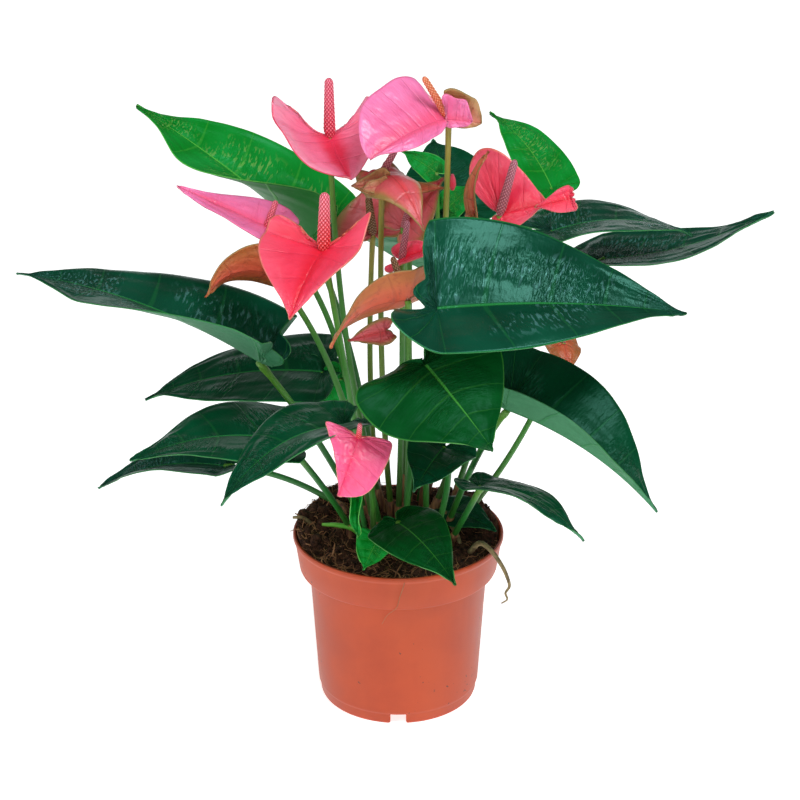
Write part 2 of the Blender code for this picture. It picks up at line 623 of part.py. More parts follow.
def main():
    clear_scene()
    make_pot()
    make_soil()
    make_aerial_root()
    green = principled("leaf", (0.01, 0.1, 0.03), 0.3)
    for name, row in LEAVES.items():
        make_leaf(name, row, green)
    flower_materials = {
        "spathe": principled("spathe", (0.8, 0.12, 0.16), 0.35),
        "stalk": principled("stalk", (0.12, 0.25, 0.02), 0.45),
        "spadix": principled("spadix", (0.75, 0.15, 0.15), 0.6),
    }
    for name, row in FLOWERS.items():
        make_flower(name, row, flower_materials)


main()
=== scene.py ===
"""The looks of a potted anthurium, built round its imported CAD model.

The plant's sizes are in millimetres and become metres where a mesh is finished, and the studio's
are in metres. The frame is the CAD's: the origin under the pot's axis, +Z up, -Y towards the front.
"""

import math
import random

import bmesh
import bpy
from mathutils import Matrix, Vector, noise


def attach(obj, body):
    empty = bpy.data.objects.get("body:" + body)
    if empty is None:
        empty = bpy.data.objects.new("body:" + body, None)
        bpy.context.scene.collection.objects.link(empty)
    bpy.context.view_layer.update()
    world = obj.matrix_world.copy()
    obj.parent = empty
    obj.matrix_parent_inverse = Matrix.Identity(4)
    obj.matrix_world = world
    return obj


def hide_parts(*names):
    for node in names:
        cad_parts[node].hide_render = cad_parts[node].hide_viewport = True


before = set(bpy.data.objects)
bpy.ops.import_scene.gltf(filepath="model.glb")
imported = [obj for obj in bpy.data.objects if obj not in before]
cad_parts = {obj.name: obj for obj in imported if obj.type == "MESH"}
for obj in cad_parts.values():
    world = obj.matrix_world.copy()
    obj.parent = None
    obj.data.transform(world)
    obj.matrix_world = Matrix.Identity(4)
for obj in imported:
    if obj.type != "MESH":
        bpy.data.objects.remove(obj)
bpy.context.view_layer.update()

# ------------------------------------------------------------------------------ the studio
# A white paper sweep with a lit white screen behind it, a key softbox high at the front right and
# weaker ones at the left and in front. The camera stands a metre back and looks slightly down.

scene = bpy.context.scene
scene.view_settings.view_transform = "Standard"

camera = bpy.data.objects.new("camera", bpy.data.cameras.new("camera"))
camera.data.lens = 90
camera.data.sensor_width = 36
camera.location = (0.001, -1.02, 0.615)
camera.rotation_euler = (math.radians(66.95), 0, 0)
scene.collection.objects.link(camera)
scene.camera = camera


def add_softbox(name, place, target, size, power, tint=(1, 1, 1)):
    lamp = bpy.data.lights.new(name, "AREA")
    lamp.shape = "RECTANGLE"
    lamp.size, lamp.size_y = size
    lamp.energy = power
    lamp.color = tint
    obj = bpy.data.objects.new(name, lamp)
    obj.location = place
    aim = Vector(target) - Vector(place)
    obj.rotation_euler = aim.to_track_quat("-Z", "Y").to_euler()
    obj.visible_camera = False
    scene.collection.objects.link(obj)


add_softbox("softbox_key", (0.48, -0.73, 1.53), (0, 0, 0.2), (0.8, 0.6), 18, (0.96, 0.98, 1.0))
add_softbox("softbox_left", (-1.3, -0.9, 1.0), (0, 0, 0.2), (0.8, 1.0), 9)
add_softbox("softbox_front", (0.1, -2.0, 0.9), (0, 0, 0.2), (1.2, 0.8), 6)
add_softbox("white_screen", (0, 2.2, 0.55), (0, 0, 0.3), (3.2, 1.0), 9, (0.93, 0.98, 1.0))

world = bpy.data.worlds.new("sweep")
scene.world = world
world.use_nodes = True
world.node_tree.nodes["Background"].inputs["Color"].default_value = (1, 1, 1, 1)
world.node_tree.nodes["Background"].inputs["Strength"].default_value = 0.14


def new_material(name, roughness=0.5, colour=(0.5, 0.5, 0.5)):
    """A Principled material, and its node tree and shader."""
    material = bpy.data.materials.new(name)
    material.use_nodes = True
    shader = material.node_tree.nodes["Principled BSDF"]
    shader.inputs["Roughness"].default_value = roughness
    shader.inputs["Base Color"].default_value = (*colour, 1)
    return material, material.node_tree, shader


def finish_piece(name, bm, materials, slot=None, stands_for=()):
    """Turn a bmesh in millimetres into a piece of the plant, smooth and at the origin."""
    bmesh.ops.scale(bm, vec=(0.001, 0.001, 0.001), verts=bm.verts)
    mesh = bpy.data.meshes.new(name)
    bm.to_mesh(mesh)
    bm.free()
    mesh.shade_smooth()
    for material in materials:
        mesh.materials.append(material)
    piece = bpy.data.objects.new(name, mesh)
    scene.collection.objects.link(piece)
    if slot:
        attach(piece, "root")
        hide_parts(*stands_for)
    return piece


paper, _, paper_shader = new_material("sweep_paper", 0.8, (0.93, 0.93, 0.93))
paper_shader.inputs["Emission Color"].default_value = (1, 1, 1, 1)
paper_shader.inputs["Emission Strength"].default_value = 0.75
bm = bmesh.new()
bmesh.ops.create_grid(bm, x_segments=1, y_segments=1, size=30000)
floor = finish_piece("floor", bm, [paper])

# ------------------------------------------------------------------------------ the pot
# A round nursery pot, injection moulded in terracotta-coloured polypropylene: a rim band over a
# tapering body, a foot ring with four drainage notches, and eight holes in the floor.

POT_SECTION = (
    (44.3, 0.0), (45.0, 0.4), (45.35, 1.4), (45.6, 5.9), (45.9, 6.7), (46.5, 7.3), (46.62, 8.4),
    (47.9, 30.0), (49.4, 55.0), (50.8, 76.6), (51.0, 77.8), (51.6, 78.8), (52.8, 79.4),
    (55.4, 79.5), (56.2, 79.8), (56.55, 80.6), (57.9, 90.0), (58.9, 96.6), (59.0, 97.3),
    (59.55, 97.9), (59.95, 98.8), (59.95, 100.0), (59.6, 100.8), (58.9, 101.0), (58.35, 100.7),
    (58.1, 100.0), (55.2, 81.0), (54.9, 79.9), (50.4, 78.4), (50.0, 77.8), (45.6, 10.0),
    (45.0, 8.4), (44.0, 8.1), (0.0, 8.1), (0.0, 6.6), (42.6, 6.6), (43.2, 6.0), (43.4, 0.6),
)
NOTCH_COUNT = 4
DRAIN_HOLE_COUNT = 8
DRAIN_HOLE_RADIUS = 4
DRAIN_CIRCLE_RADIUS = 32
BAND_SHADOW_HEIGHT = 0.0788  # metres
NOTCH_SECTION = (
    (-4.4, 6.4), (4.4, 6.4), (4.4, 2.0), (4.7, 0.9), (5.6, 0.15), (6.4, -0.6), (-6.4, -0.6),
    (-5.6, 0.15), (-4.7, 0.9), (-4.4, 2.0),
)


def ring_mesh(section, steps):
    """Spin a closed section of (radius, height) points about the pot's axis."""
    bm = bmesh.new()
    verts = [bm.verts.new((radius, 0, height)) for radius, height in section]
    edges = [bm.edges.new((verts[i - 1], verts[i])) for i in range(len(verts))]
    bmesh.ops.spin(
        bm, geom=verts + edges, cent=(0, 0, 0), axis=(0, 0, 1), angle=math.tau, steps=steps,
        use_merge=True,
    )
    bmesh.ops.remove_doubles(bm, verts=bm.verts, dist=1e-4)
    bmesh.ops.recalc_face_normals(bm, faces=bm.faces)
    return bm


def cutter(name, bm):
    obj = finish_piece(name, bm, [])
    obj.hide_render = True
    return obj


def node(tree, kind, inputs=None, **settings):
    """Add a node. An input that is a socket is linked, and any other is set."""
    added = tree.nodes.new(kind)
    for key, value in settings.items():
        setattr(added, key, value)
    for key, value in (inputs or {}).items():
        if isinstance(value, bpy.types.NodeSocket):
            tree.links.new(value, added.inputs[key])
        else:
            added.inputs[key].default_value = value
    return added


def calc(tree, operation, *values):
    inputs = dict(enumerate(values))
    return node(tree, "ShaderNodeMath", inputs, operation=operation).outputs[0]


def between(tree, value, low, high, start=0.0, end=1.0):
    """Start up to low and end from high on, with a smooth change in between."""
    inputs = {"Value": value, "From Min": low, "From Max": high, "To Min": start, "To Max": end}
    made = node(tree, "ShaderNodeMapRange", inputs, interpolation_type="SMOOTHSTEP")
    return made.outputs["Result"]


def mixed(tree, share, first, second):
    """A colour between two colours, each a socket or three numbers."""
    first = first if isinstance(first, bpy.types.NodeSocket) else (*first, 1)
    second = second if isinstance(second, bpy.types.NodeSocket) else (*second, 1)
    inputs = {0: share, 6: first, 7: second}
    return node(tree, "ShaderNodeMix", inputs, data_type="RGBA").outputs[2]


def object_noise(tree, scale, detail=4.0, roughness=0.55, stretch=(1, 1, 1)):
    """Noise that is fixed to the object, with scale in lumps a metre."""
    place = node(tree, "ShaderNodeTexCoord").outputs["Object"]
    if stretch != (1, 1, 1):
        place = node(tree, "ShaderNodeMapping", {"Vector": place, "Scale": stretch}).outputs[0]
    inputs = {"Vector": place, "Scale": scale, "Detail": detail, "Roughness": roughness}
    return node(tree, "ShaderNodeTexNoise", inputs).outputs["Fac"]


def add_bump(tree, shader, height, distance, strength=1.0):
    """Relief of this distance in millimetres."""
    inputs = {"Height": height, "Distance": distance * 0.001, "Strength": strength}
    bump = node(tree, "ShaderNodeBump", inputs)
    tree.links.new(bump.outputs["Normal"], shader.inputs["Normal"])
    return bump


terracotta, tree, shader = new_material("terracotta_plastic", 0.42)
cloud = object_noise(tree, 28, 5, 0.6)
flow = object_noise(tree, 60, 3, 0.5, (1, 1, 0.12))
tone = mixed(tree, between(tree, cloud, 0.3, 0.7), (0.40, 0.047, 0.009), (0.47, 0.062, 0.014))
tone = mixed(tree, between(tree, flow, 0.45, 0.7, 0, 0.35), tone, (0.50, 0.074, 0.018))
crumbs_on_wall = object_noise(tree, 420, 2, 0.4)
patches = object_noise(tree, 34, 1, 0.4)
dirt = calc(tree, "MULTIPLY", between(tree, crumbs_on_wall, 0.70, 0.73),
            between(tree, patches, 0.56, 0.62))
tone = mixed(tree, dirt, tone, (0.10, 0.035, 0.02))
# A painted shadow: the colour darkens to a thin dark line round the pot just under the rim band's step.
height = node(tree, "ShaderNodeSeparateXYZ", {0: node(tree, "ShaderNodeTexCoord").outputs["Object"]})
band_shadow_distance = calc(tree, "ABSOLUTE", calc(tree, "SUBTRACT", height.outputs[2], BAND_SHADOW_HEIGHT))
tone = mixed(tree, between(tree, band_shadow_distance, 0.0003, 0.001, 0.55, 0.0), tone, (0.12, 0.02, 0.006))
tree.links.new(tone, shader.inputs["Base Color"])
tree.links.new(between(tree, cloud, 0.2, 0.8, 0.36, 0.5), shader.inputs["Roughness"])
shader.inputs["Specular IOR Level"].default_value = 0.36
grain = object_noise(tree, 2600, 2, 0.5)
add_bump(tree, shader, calc(tree, "ADD", grain, calc(tree, "MULTIPLY", flow, 1.5)), 0.03)

pot = finish_piece("nursery_pot", ring_mesh(POT_SECTION, 144), [terracotta],
                   "terracotta_plastic", ["pot"])
bm = bmesh.new()
for index in range(NOTCH_COUNT):
    verts = [bm.verts.new((x, -52, z)) for x, z in NOTCH_SECTION]
    face = bm.faces.new(verts)
    sweep = bmesh.ops.extrude_face_region(bm, geom=[face])["geom"]
    far = [item for item in sweep if isinstance(item, bmesh.types.BMVert)]
    bmesh.ops.translate(bm, vec=(0, 12, 0), verts=far)
    turn = Matrix.Rotation(index * math.tau / NOTCH_COUNT, 3, "Z")
    bmesh.ops.rotate(bm, cent=(0, 0, 0), matrix=turn, verts=verts + far)
for index in range(DRAIN_HOLE_COUNT):
    angle = math.tau * (index + 0.5) / DRAIN_HOLE_COUNT
    hole = bmesh.ops.create_cone(
        bm, cap_ends=True, segments=32, radius1=DRAIN_HOLE_RADIUS, radius2=DRAIN_HOLE_RADIUS,
        depth=12,
    )
    place = (DRAIN_CIRCLE_RADIUS * math.cos(angle), DRAIN_CIRCLE_RADIUS * math.sin(angle), 7.3)
    bmesh.ops.translate(bm, vec=place, verts=hole["verts"])
bmesh.ops.recalc_face_normals(bm, faces=bm.faces)
openings = cutter("pot_openings", bm)
cut = pot.modifiers.new("openings", "BOOLEAN")
cut.operation = "DIFFERENCE"
cut.solver = "EXACT"
cut.object = openings
cut_mesh = bpy.data.meshes.new_from_object(pot.evaluated_get(bpy.context.evaluated_depsgraph_get()))
pot.modifiers.clear()
pot.data = cut_mesh
cut_mesh.set_sharp_from_angle(angle=math.radians(50))
bpy.data.objects.remove(openings)

# ------------------------------------------------------------------------------ the peat
# Dark fibrous peat, pressed in to just under the lip, with heaps that stand over it at the left,
# the back left and the back right. Crumbs lie all over it, and pale root fibres over most of it.


def peat_height(x, y):
    """The peat's top before its crumbs, as the CAD solid has it."""
    share = min(1.0, math.hypot(x, y) / 58.5)
    mound = 5.5 * (1 - share**2) + 2.0 * share * y / 60
    lumps = 1.1 * math.sin(0.19 * x + 1) * math.cos(0.23 * y) + 0.8 * math.sin(0.4 * x - 0.33 * y)
    return 97.5 + mound + lumps


def rough_peat(x, y):
    """The peat's top with its lumps."""
    turbulence = noise.fractal(Vector((x, y, 3)) * 0.11, 1.0, 2.1, 5)
    clods = noise.fractal(Vector((x, y, 40)) * 0.38, 0.9, 2.2, 4)
    angle = math.degrees(math.atan2(y, x)) % 360
    edge = max(0.0, math.hypot(x, y) - 38) / 18
    heap = max(math.exp(-((angle - near) / wide) ** 2) for near, wide in ((178, 34), (132, 26), (38, 30)))
    return peat_height(x, y) + 2.2 * turbulence + 1.1 * clods + 7.0 * heap * min(1.0, edge)


peat, tree, shader = new_material("peat", 0.95)
lump = object_noise(tree, 300, 8, 0.7)
strand = object_noise(tree, 900, 3, 0.6, (1, 0.25, 1))
tone = mixed(tree, between(tree, lump, 0.35, 0.65), (0.017, 0.007, 0.005), (0.105, 0.044, 0.024))
tone = mixed(tree, between(tree, strand, 0.62, 0.72, 0, 0.6), tone, (0.34, 0.14, 0.06))
tree.links.new(tone, shader.inputs["Base Color"])
shader.inputs["Specular IOR Level"].default_value = 0.25
add_bump(tree, shader, calc(tree, "ADD", lump, strand), 1.2)

PEAT_RINGS = 90
PEAT_RADIUS = 57.6
PEAT_SECTION = ((0.0, 8.5), (45.0, 8.6), (49.4, 78.0), (53.9, 80.2), (57.0, 95.0))
bm = bmesh.new()
bmesh.ops.create_grid(bm, x_segments=260, y_segments=PEAT_RINGS, size=1.0)
for vert in bm.verts:
    angle = math.pi * vert.co.x
    row = round((vert.co.y + 1) / 2 * PEAT_RINGS)
    if row < len(PEAT_SECTION):
        radius, height = PEAT_SECTION[row]
        vert.co = (radius * math.cos(angle), radius * math.sin(angle), height)
    else:
        radius = PEAT_RADIUS * (PEAT_RINGS - row) / (PEAT_RINGS - len(PEAT_SECTION))
        x, y = radius * math.cos(angle), radius * math.sin(angle)
        vert.co = (x, y, rough_peat(x, y))
bmesh.ops.remove_doubles(bm, verts=bm.verts, dist=1e-3)
bmesh.ops.recalc_face_normals(bm, faces=bm.faces)
finish_piece("peat", bm, [peat], "peat", ["soil"])

CRUMB_COUNT = 900
LUMP_COUNT = 70
draw = random.Random(11)
bm = bmesh.new()
for _ in range(CRUMB_COUNT):
    angle = draw.uniform(0, math.tau)
    radius = 57.5 * math.sqrt(draw.random())
    x, y = radius * math.cos(angle), radius * math.sin(angle)
    crumb = bmesh.ops.create_icosphere(bm, subdivisions=1, radius=1.0)["verts"]
    for vert in crumb:
        vert.co *= draw.uniform(0.6, 1.15)
    size = 0.5 + 1.9 * draw.random() ** 2.5
    bmesh.ops.scale(bm, vec=(size, size * draw.uniform(0.5, 1), size * 0.7), verts=crumb)
    bmesh.ops.rotate(bm, cent=(0, 0, 0), matrix=Matrix.Rotation(angle * 7, 3, "Z"), verts=crumb)
    bmesh.ops.translate(bm, vec=(x, y, rough_peat(x, y) + 0.3 * size), verts=crumb)
# Lumps lie along the rim at the left, the back left and the back right.
for _ in range(LUMP_COUNT):
    angle = math.radians(draw.choice((180, 140, 40)) + draw.gauss(0, 20))
    radius = draw.uniform(42, 56)
    x, y = radius * math.cos(angle), radius * math.sin(angle)
    lump = bmesh.ops.create_icosphere(bm, subdivisions=2, radius=1.0)["verts"]
    size = draw.uniform(1.6, 3.6)
    for vert in lump:
        vert.co *= size * (1 + 0.45 * noise.noise(vert.co * 1.7 + Vector((x, y, 0))))
    bmesh.ops.translate(bm, vec=(x, y, rough_peat(x, y) + 0.25 * size), verts=lump)
finish_piece("peat_crumbs", bm, [peat], "peat")


def smooth_path(points, count):
    """Points along the smooth curve through these points."""
    points = [Vector(p) for p in points]
    ends = [2 * points[0] - points[1], *points, 2 * points[-1] - points[-2]]
    path = []
    for step in range(count + 1):
        at = min(step / count * (len(points) - 1), len(points) - 1 - 1e-6)
        index = int(at)
        t = at - index
        a, b, c, d = ends[index:index + 4]
        path.append(
            b + 0.5 * t * (c - a + t * (2 * a - 5 * b + 4 * c - d + t * (3 * (b - c) + d - a)))
        )
    return path


def add_tube(bm, path, radius_at, sides):
    """Add a closed round tube along a path; radius_at gives its radius for a share from 0 to 1.

    Its UV map has the way round in U and the way along in V.
    """
    steps = len(path) - 1
    uv = bm.loops.layers.uv.verify()
    verts = bmesh.ops.create_grid(bm, x_segments=sides, y_segments=steps + 2, size=1.0)["verts"]
    for face in {face for vert in verts for face in vert.link_faces}:
        for loop in face.loops:
            loop[uv].uv = ((loop.vert.co.x + 1) / 2, (loop.vert.co.y + 1) / 2)
    heading = (path[1] - path[0]).normalized()
    across = heading.orthogonal().normalized()
    rows = []
    for index, point in enumerate(path):
        onward = (path[min(index + 1, steps)] - path[max(index - 1, 0)]).normalized()
        across = (across - across.dot(onward) * onward).normalized()
        rows.append((point, across, onward.cross(across), radius_at(index / steps)))
    rows = [(*rows[0][:3], 0.0), *rows, (*rows[-1][:3], 0.0)]
    for vert in verts:
        angle = math.pi * vert.co.x
        point, first, second, radius = rows[round((vert.co.y + 1) / 2 * (steps + 2))]
        vert.co = point + radius * (math.cos(angle) * first + math.sin(angle) * second)
    bmesh.ops.remove_doubles(bm, verts=verts, dist=1e-4)


fibre, tree, shader = new_material("root_fibre", 0.8)
tone = mixed(tree, object_noise(tree, 90, 2), (0.12, 0.045, 0.020), (0.52, 0.25, 0.11))
tree.links.new(tone, shader.inputs["Base Color"])

FIBRE_COUNT = 420
BROKEN_ROOT_COUNT = 46
bm = bmesh.new()
for _ in range(FIBRE_COUNT):
    # Fibres start in the outer half of the radius, and more of them at the left.
    angle = draw.gauss(math.pi, 1.5)
    radius = 58.5 * math.sqrt(draw.uniform(0.25, 1.0))
    place = Vector((radius * math.cos(angle), radius * math.sin(angle), 0))
    heading = angle + draw.choice((-1, 1)) * draw.uniform(0.6, 2.4)
    points = []
    for _ in range(5):
        place.z = rough_peat(place.x, place.y) + draw.uniform(0.1, 1.3)
        if place.xy.length < 59:
            points.append(place.copy())
        heading += draw.uniform(-0.7, 0.7)
        place += draw.uniform(1.0, 3.2) * Vector((math.cos(heading), math.sin(heading), 0))
    if len(points) > 2:
        add_tube(bm, smooth_path(points, 7), lambda t, r=draw.uniform(0.1, 0.26): r, 3)
# Thicker broken roots stand out of the peat at the left and the front.
for _ in range(BROKEN_ROOT_COUNT):
    angle = math.radians(draw.choice((185, 185, 215, 265)) + draw.gauss(0, 16))
    radius = draw.uniform(40, 55)
    place = Vector((radius * math.cos(angle), radius * math.sin(angle), 0))
    place.z = rough_peat(place.x, place.y) - 0.5
    lean = Vector((draw.gauss(0, 1), draw.gauss(0, 1), draw.uniform(0.1, 0.9))).normalized()
    tip = place + lean * draw.uniform(4, 9)
    middle = (place + tip) / 2 + Vector((draw.gauss(0, 0.8), draw.gauss(0, 0.8), 0.8))
    path = smooth_path((place, middle, tip), 8)
    add_tube(bm, path, lambda t, r=draw.uniform(0.3, 0.6): r * (1 - 0.5 * t), 6)
bmesh.ops.recalc_face_normals(bm, faces=bm.faces)
finish_piece("peat_fibres", bm, [fibre], "root")

# ------------------------------------------------------------------------------ the leaves
# Leathery heart-shaped blades, glossy above and matt below, with side veins sunk between raised
# cushions of blade. Each hangs on a round petiole with a swollen knee under the blade.

LEAF_OUTLINE = (
    (1.0, 0.0), (0.94, 0.065), (0.845, 0.22), (0.71, 0.48), (0.52, 0.76), (0.28, 0.96),
    (0.02, 1.0), (-0.16, 0.84), (-0.25, 0.56), (-0.22, 0.24), (-0.05, 0.0),
)
LOBED_OUTLINE = (
    (1.0, 0.0), (0.88, 0.09), (0.72, 0.24), (0.60, 0.38), (0.50, 0.68), (0.34, 0.95),
    (0.12, 1.0), (-0.14, 0.88), (-0.34, 0.82), (-0.44, 0.5), (-0.25, 0.12), (-0.05, 0.0),
)
# The lobe of the largest leaf that rounds out behind its petiole.
ROUND_LOBE = (
    (1.0, 0.0), (0.94, 0.065), (0.845, 0.22), (0.71, 0.48), (0.52, 0.76), (0.28, 0.97),
    (0.02, 1.06), (-0.2, 1.02), (-0.34, 0.76), (-0.28, 0.36), (-0.05, 0.0),
)
LEAF_VEINS = 10
LEAF_THICKNESS = 0.55


def outline_point(outline, share):
    """A point on the smooth curve through the outline's points, for a share from 0 to 1."""
    last = len(outline) - 1
    at = min(share * last, last - 1e-6)
    index = int(at)
    t = at - index
    points = ((outline[1][0], -outline[1][1]), *outline, (outline[-2][0], -outline[-2][1]))
    return tuple(
        b + 0.5 * t * (c - a + t * (2 * a - 5 * b + 4 * c - d + t * (3 * (b - c) + d - a)))
        for a, b, c, d in zip(*points[index:index + 4])
    )


def blade_axes(row):
    """The blade's directions at its collar: towards the tip, to the right and up."""
    along = (Vector(row["tip"]) - Vector(row["collar"])).normalized()
    up = Vector(row["faces"])
    up = (up - up.dot(along) * along).normalized()
    return along, along.cross(up), up


def rib_points(row, outline, share, half, rings, veins):
    """Points from the midrib to the margin along one side vein; half is 0 left and 1 right."""
    along, right, up = blade_axes(row)
    collar, tip = Vector(row["collar"]), Vector(row["tip"])
    length, half_width = (tip - collar).length, row["width"][half] / 2
    middle = (collar + tip) / 2 + row.get("arch", 0) * 2 * up + row.get("sway", 0) * 2 * right
    edges = [outline_point(each, share) for each in (outline if len(outline) == 2 else (outline,))]
    edge_u, edge_v = edges[half % len(edges)]
    lean = 0.075 * sum(row["width"]) / length
    foot_u = max(sum(u - lean * v for u, v in edges) / len(edges), 0.0) if share < 1 else edge_u
    sign = (-1, 1)[half]
    fold, opened = math.radians(row["fold"][half]), math.radians(row["open"][half])
    cup, roll = math.radians(row["cup"][half]), math.radians(row.get("roll", (0, 0))[half])
    seed = 17 * half + 3.1 * row["tip"][0] + row["tip"][1]
    cushion = abs(math.sin(math.pi * share * veins)) ** 0.7 * row.get("quilt", 0.3)
    reach = rise = 0.0
    points = []
    for ring in range(rings + 1):
        out = ring / rings
        u = foot_u + (edge_u - foot_u) * out**1.3
        inside, behind = max(u, 0.0), min(u, 0.0)
        spine = collar.lerp(middle, inside).lerp(middle.lerp(tip, inside), inside)
        heading = ((middle - collar) * (1 - inside) + (tip - middle) * inside).normalized()
        side = (right - right.dot(heading) * heading).normalized()
        over = side.cross(heading)
        droop = max(0.0, inside - 0.75) / 0.25
        spine -= over * row.get("droop", 0) * droop**2
        width = out * edge_v * half_width
        seam = max(0.0, 1 - width / (0.3 * half_width))
        spine += along * behind * length * (seam + (1 - seam) * row["lobes"][half])
        bent = min(1.0, 1.5 * inside)
        angle = fold * (1 - bent) + opened * bent + cup * (out - 0.5 / rings) * edge_v
        angle += roll * max(0.0, out - 0.5) ** 2 * 4
        if ring:
            reach += math.cos(angle) * edge_v * half_width / rings
            rise += math.sin(angle) * edge_v * half_width / rings
        normal = over * math.cos(angle) - side * sign * math.sin(angle)
        lift = row["lift"][half] * min(1.0, (4 * behind) ** 2)
        body = min(1.0, out * 5) * min(1.0, (1 - out) * 6) * min(1.0, edge_v * 2.5)
        wave = row.get("wave", 1.0) * out**3 * math.sin(math.tau * 2.7 * share + seed)
        dents = noise.fractal(Vector((share * 5, out * 3, seed)), 1.0, 2.0, 3) * row.get("dent", 1.2)
        ripple = noise.noise(Vector((share * 34, out * 5, seed + 9))) * 0.35
        height = cushion * body + wave + dents * out + ripple * body
        points.append(spine + side * sign * reach + over * (rise + lift) + normal * height)
    return points


def grow_blade(name, row, outline, ribs, rings, veins, thickness, materials):
    """A thin closed blade. Its UV map has the outline's share in U and the way out in V."""
    bm = bmesh.new()
    bmesh.ops.create_grid(bm, x_segments=2 * ribs, y_segments=rings, size=1.0)
    uv = bm.loops.layers.uv.verify()
    for face in bm.faces:
        for loop in face.loops:
            loop[uv].uv = ((loop.vert.co.x + 1) / 2, (loop.vert.co.y + 1) / 2)
    columns = {}
    for vert in bm.verts:
        column, ring = round((vert.co.x + 1) * ribs), round((vert.co.y + 1) / 2 * rings)
        if column not in columns:
            share = abs(column - ribs) / ribs
            columns[column] = rib_points(row, outline, share, int(column > ribs), rings, veins)
        vert.co = columns[column][ring]
    bmesh.ops.remove_doubles(bm, verts=bm.verts, dist=0.004)
    _, _, up = blade_axes(row)
    if sum((face.normal * face.calc_area() for face in bm.faces), Vector()).dot(up) < 0:
        bmesh.ops.reverse_faces(bm, faces=bm.faces)
    piece = finish_piece(name, bm, materials)
    shell = piece.modifiers.new("thickness", "SOLIDIFY")
    shell.thickness = thickness * 0.001
    shell.offset = -1.0
    shell.material_offset = 1
    shell.material_offset_rim = 2
    return piece


def blade_coordinates(tree):
    """The outline's share from tip to notch, and the way out from midrib to margin."""
    place = node(tree, "ShaderNodeUVMap").outputs["UV"]
    parts = node(tree, "ShaderNodeSeparateXYZ", {0: place}).outputs
    doubled = calc(tree, "MULTIPLY_ADD", parts[0], 2.0, -1.0)
    return calc(tree, "ABSOLUTE", doubled), parts[1], place


def vein_mask(tree, share, out, veins, width):
    """One on the side veins, which taper towards the margin."""
    off = calc(tree, "PINGPONG", calc(tree, "MULTIPLY", share, float(veins)), 0.5)
    limit = between(tree, out, 0.0, 1.0, width, width * 0.35)
    return between(tree, calc(tree, "DIVIDE", off, limit), 0.3, 1.0, 1.0, 0.0)


def leaf_materials(name, dark, light, vein, under, painted_glint, gloss, shine):
    """The upper side, the underside and the margin of a leaf.

    In clusters between the midrib and the margin the upper side is finely wrinkled along its side
    veins, and the wrinkles' waxy crests are painted with highlights in the glint's colour. shine is
    how much the upper side reflects.
    """
    upper, tree, shader = new_material(name + "_upper", gloss)
    share, out, place = blade_coordinates(tree)
    patch = object_noise(tree, 26, 3, 0.5)
    # Painted shading over a random patchy tone: each cushion between side veins is painted lighter in its
    # middle and darker towards the veins.
    cushion = calc(tree, "PINGPONG", calc(tree, "MULTIPLY", share, float(LEAF_VEINS)), 0.5)
    patch_and_cushion_shade = calc(tree, "MULTIPLY_ADD", between(tree, patch, 0.35, 0.65), 0.5, cushion)
    tone = mixed(tree, patch_and_cushion_shade, dark, light)
    stretched = node(tree, "ShaderNodeMapping", {"Vector": place, "Scale": (330, 6, 1)}).outputs[0]
    inputs = {"Vector": stretched, "Scale": 1.0, "Detail": 2.0, "Roughness": 0.5, "Distortion": 0.2}
    wrinkle = node(tree, "ShaderNodeTexNoise", inputs).outputs["Fac"]
    clusters = between(tree, object_noise(tree, 30, 2, 0.5), 0.44, 0.6)
    clusters = calc(tree, "MULTIPLY", clusters, between(tree, out, 0.55, 0.9, 1.0, 0.0))
    crests = calc(tree, "MULTIPLY", between(tree, wrinkle, 0.53, 0.63), clusters)
    # Painted highlights: the wrinkles' crests take the glint colour.
    tone = mixed(tree, calc(tree, "MULTIPLY", crests, 0.32), tone, painted_glint)
    side_veins = vein_mask(tree, share, out, LEAF_VEINS, 0.06)
    # The veins that start near the collar are nearly as strong as the midrib, the others faint.
    basal = between(tree, share, 0.64, 0.72, 0.22, 0.85)
    midrib = between(tree, out, 0.012, 0.03, 1.0, 0.0)
    lines = calc(tree, "MAXIMUM", calc(tree, "MULTIPLY", side_veins, basal), midrib)
    rim = between(tree, out, 0.978, 0.99)
    tone = mixed(tree, calc(tree, "MULTIPLY", lines, 0.85), tone, vein)
    tone = mixed(tree, calc(tree, "MULTIPLY", rim, 0.6), tone, vein)
    tree.links.new(tone, shader.inputs["Base Color"])
    tree.links.new(between(tree, crests, 0.0, 1.0, gloss + 0.06, gloss - 0.06), shader.inputs["Roughness"])
    shader.inputs["Specular IOR Level"].default_value = shine
    shader.inputs["Specular Tint"].default_value = (0.3, 0.85, 0.7, 1)
    pucker = object_noise(tree, 300, 3, 0.55)
    folded = calc(tree, "MULTIPLY", wrinkle, between(tree, clusters, 0.0, 1.0, 0.12, 1.0))
    relief = calc(tree, "MULTIPLY_ADD", pucker, 0.12, folded)
    relief = calc(tree, "MULTIPLY_ADD", lines, -0.25, relief)
    add_bump(tree, shader, relief, 1.6)

    lower, tree, shader = new_material(name + "_under", 0.5)
    share, out, place = blade_coordinates(tree)
    side_veins = vein_mask(tree, share, out, LEAF_VEINS, 0.07)
    midrib = between(tree, out, 0.02, 0.045, 1.0, 0.0)
    lines = calc(tree, "MAXIMUM", calc(tree, "MULTIPLY", side_veins, 0.6), midrib)
    net = object_noise(tree, 500, 3, 0.6)
    tone = mixed(tree, net, under, tuple(1.35 * c for c in under))
    tone = mixed(tree, calc(tree, "MULTIPLY", lines, 0.6), tone, vein)
    tree.links.new(tone, shader.inputs["Base Color"])
    shader.inputs["Specular IOR Level"].default_value = 0.25
    shader.inputs["Specular Tint"].default_value = (0.6, 0.9, 0.8, 1)
    add_bump(tree, shader, calc(tree, "MULTIPLY_ADD", lines, 1.0, calc(tree, "MULTIPLY", net, 0.3)), 0.5)

    margin, tree, shader = new_material(name + "_margin", 0.45)
    tone = mixed(tree, object_noise(tree, 200, 2), vein, tuple(0.6 * c for c in vein))
    tree.links.new(tone, shader.inputs["Base Color"])
    return [upper, lower, margin]


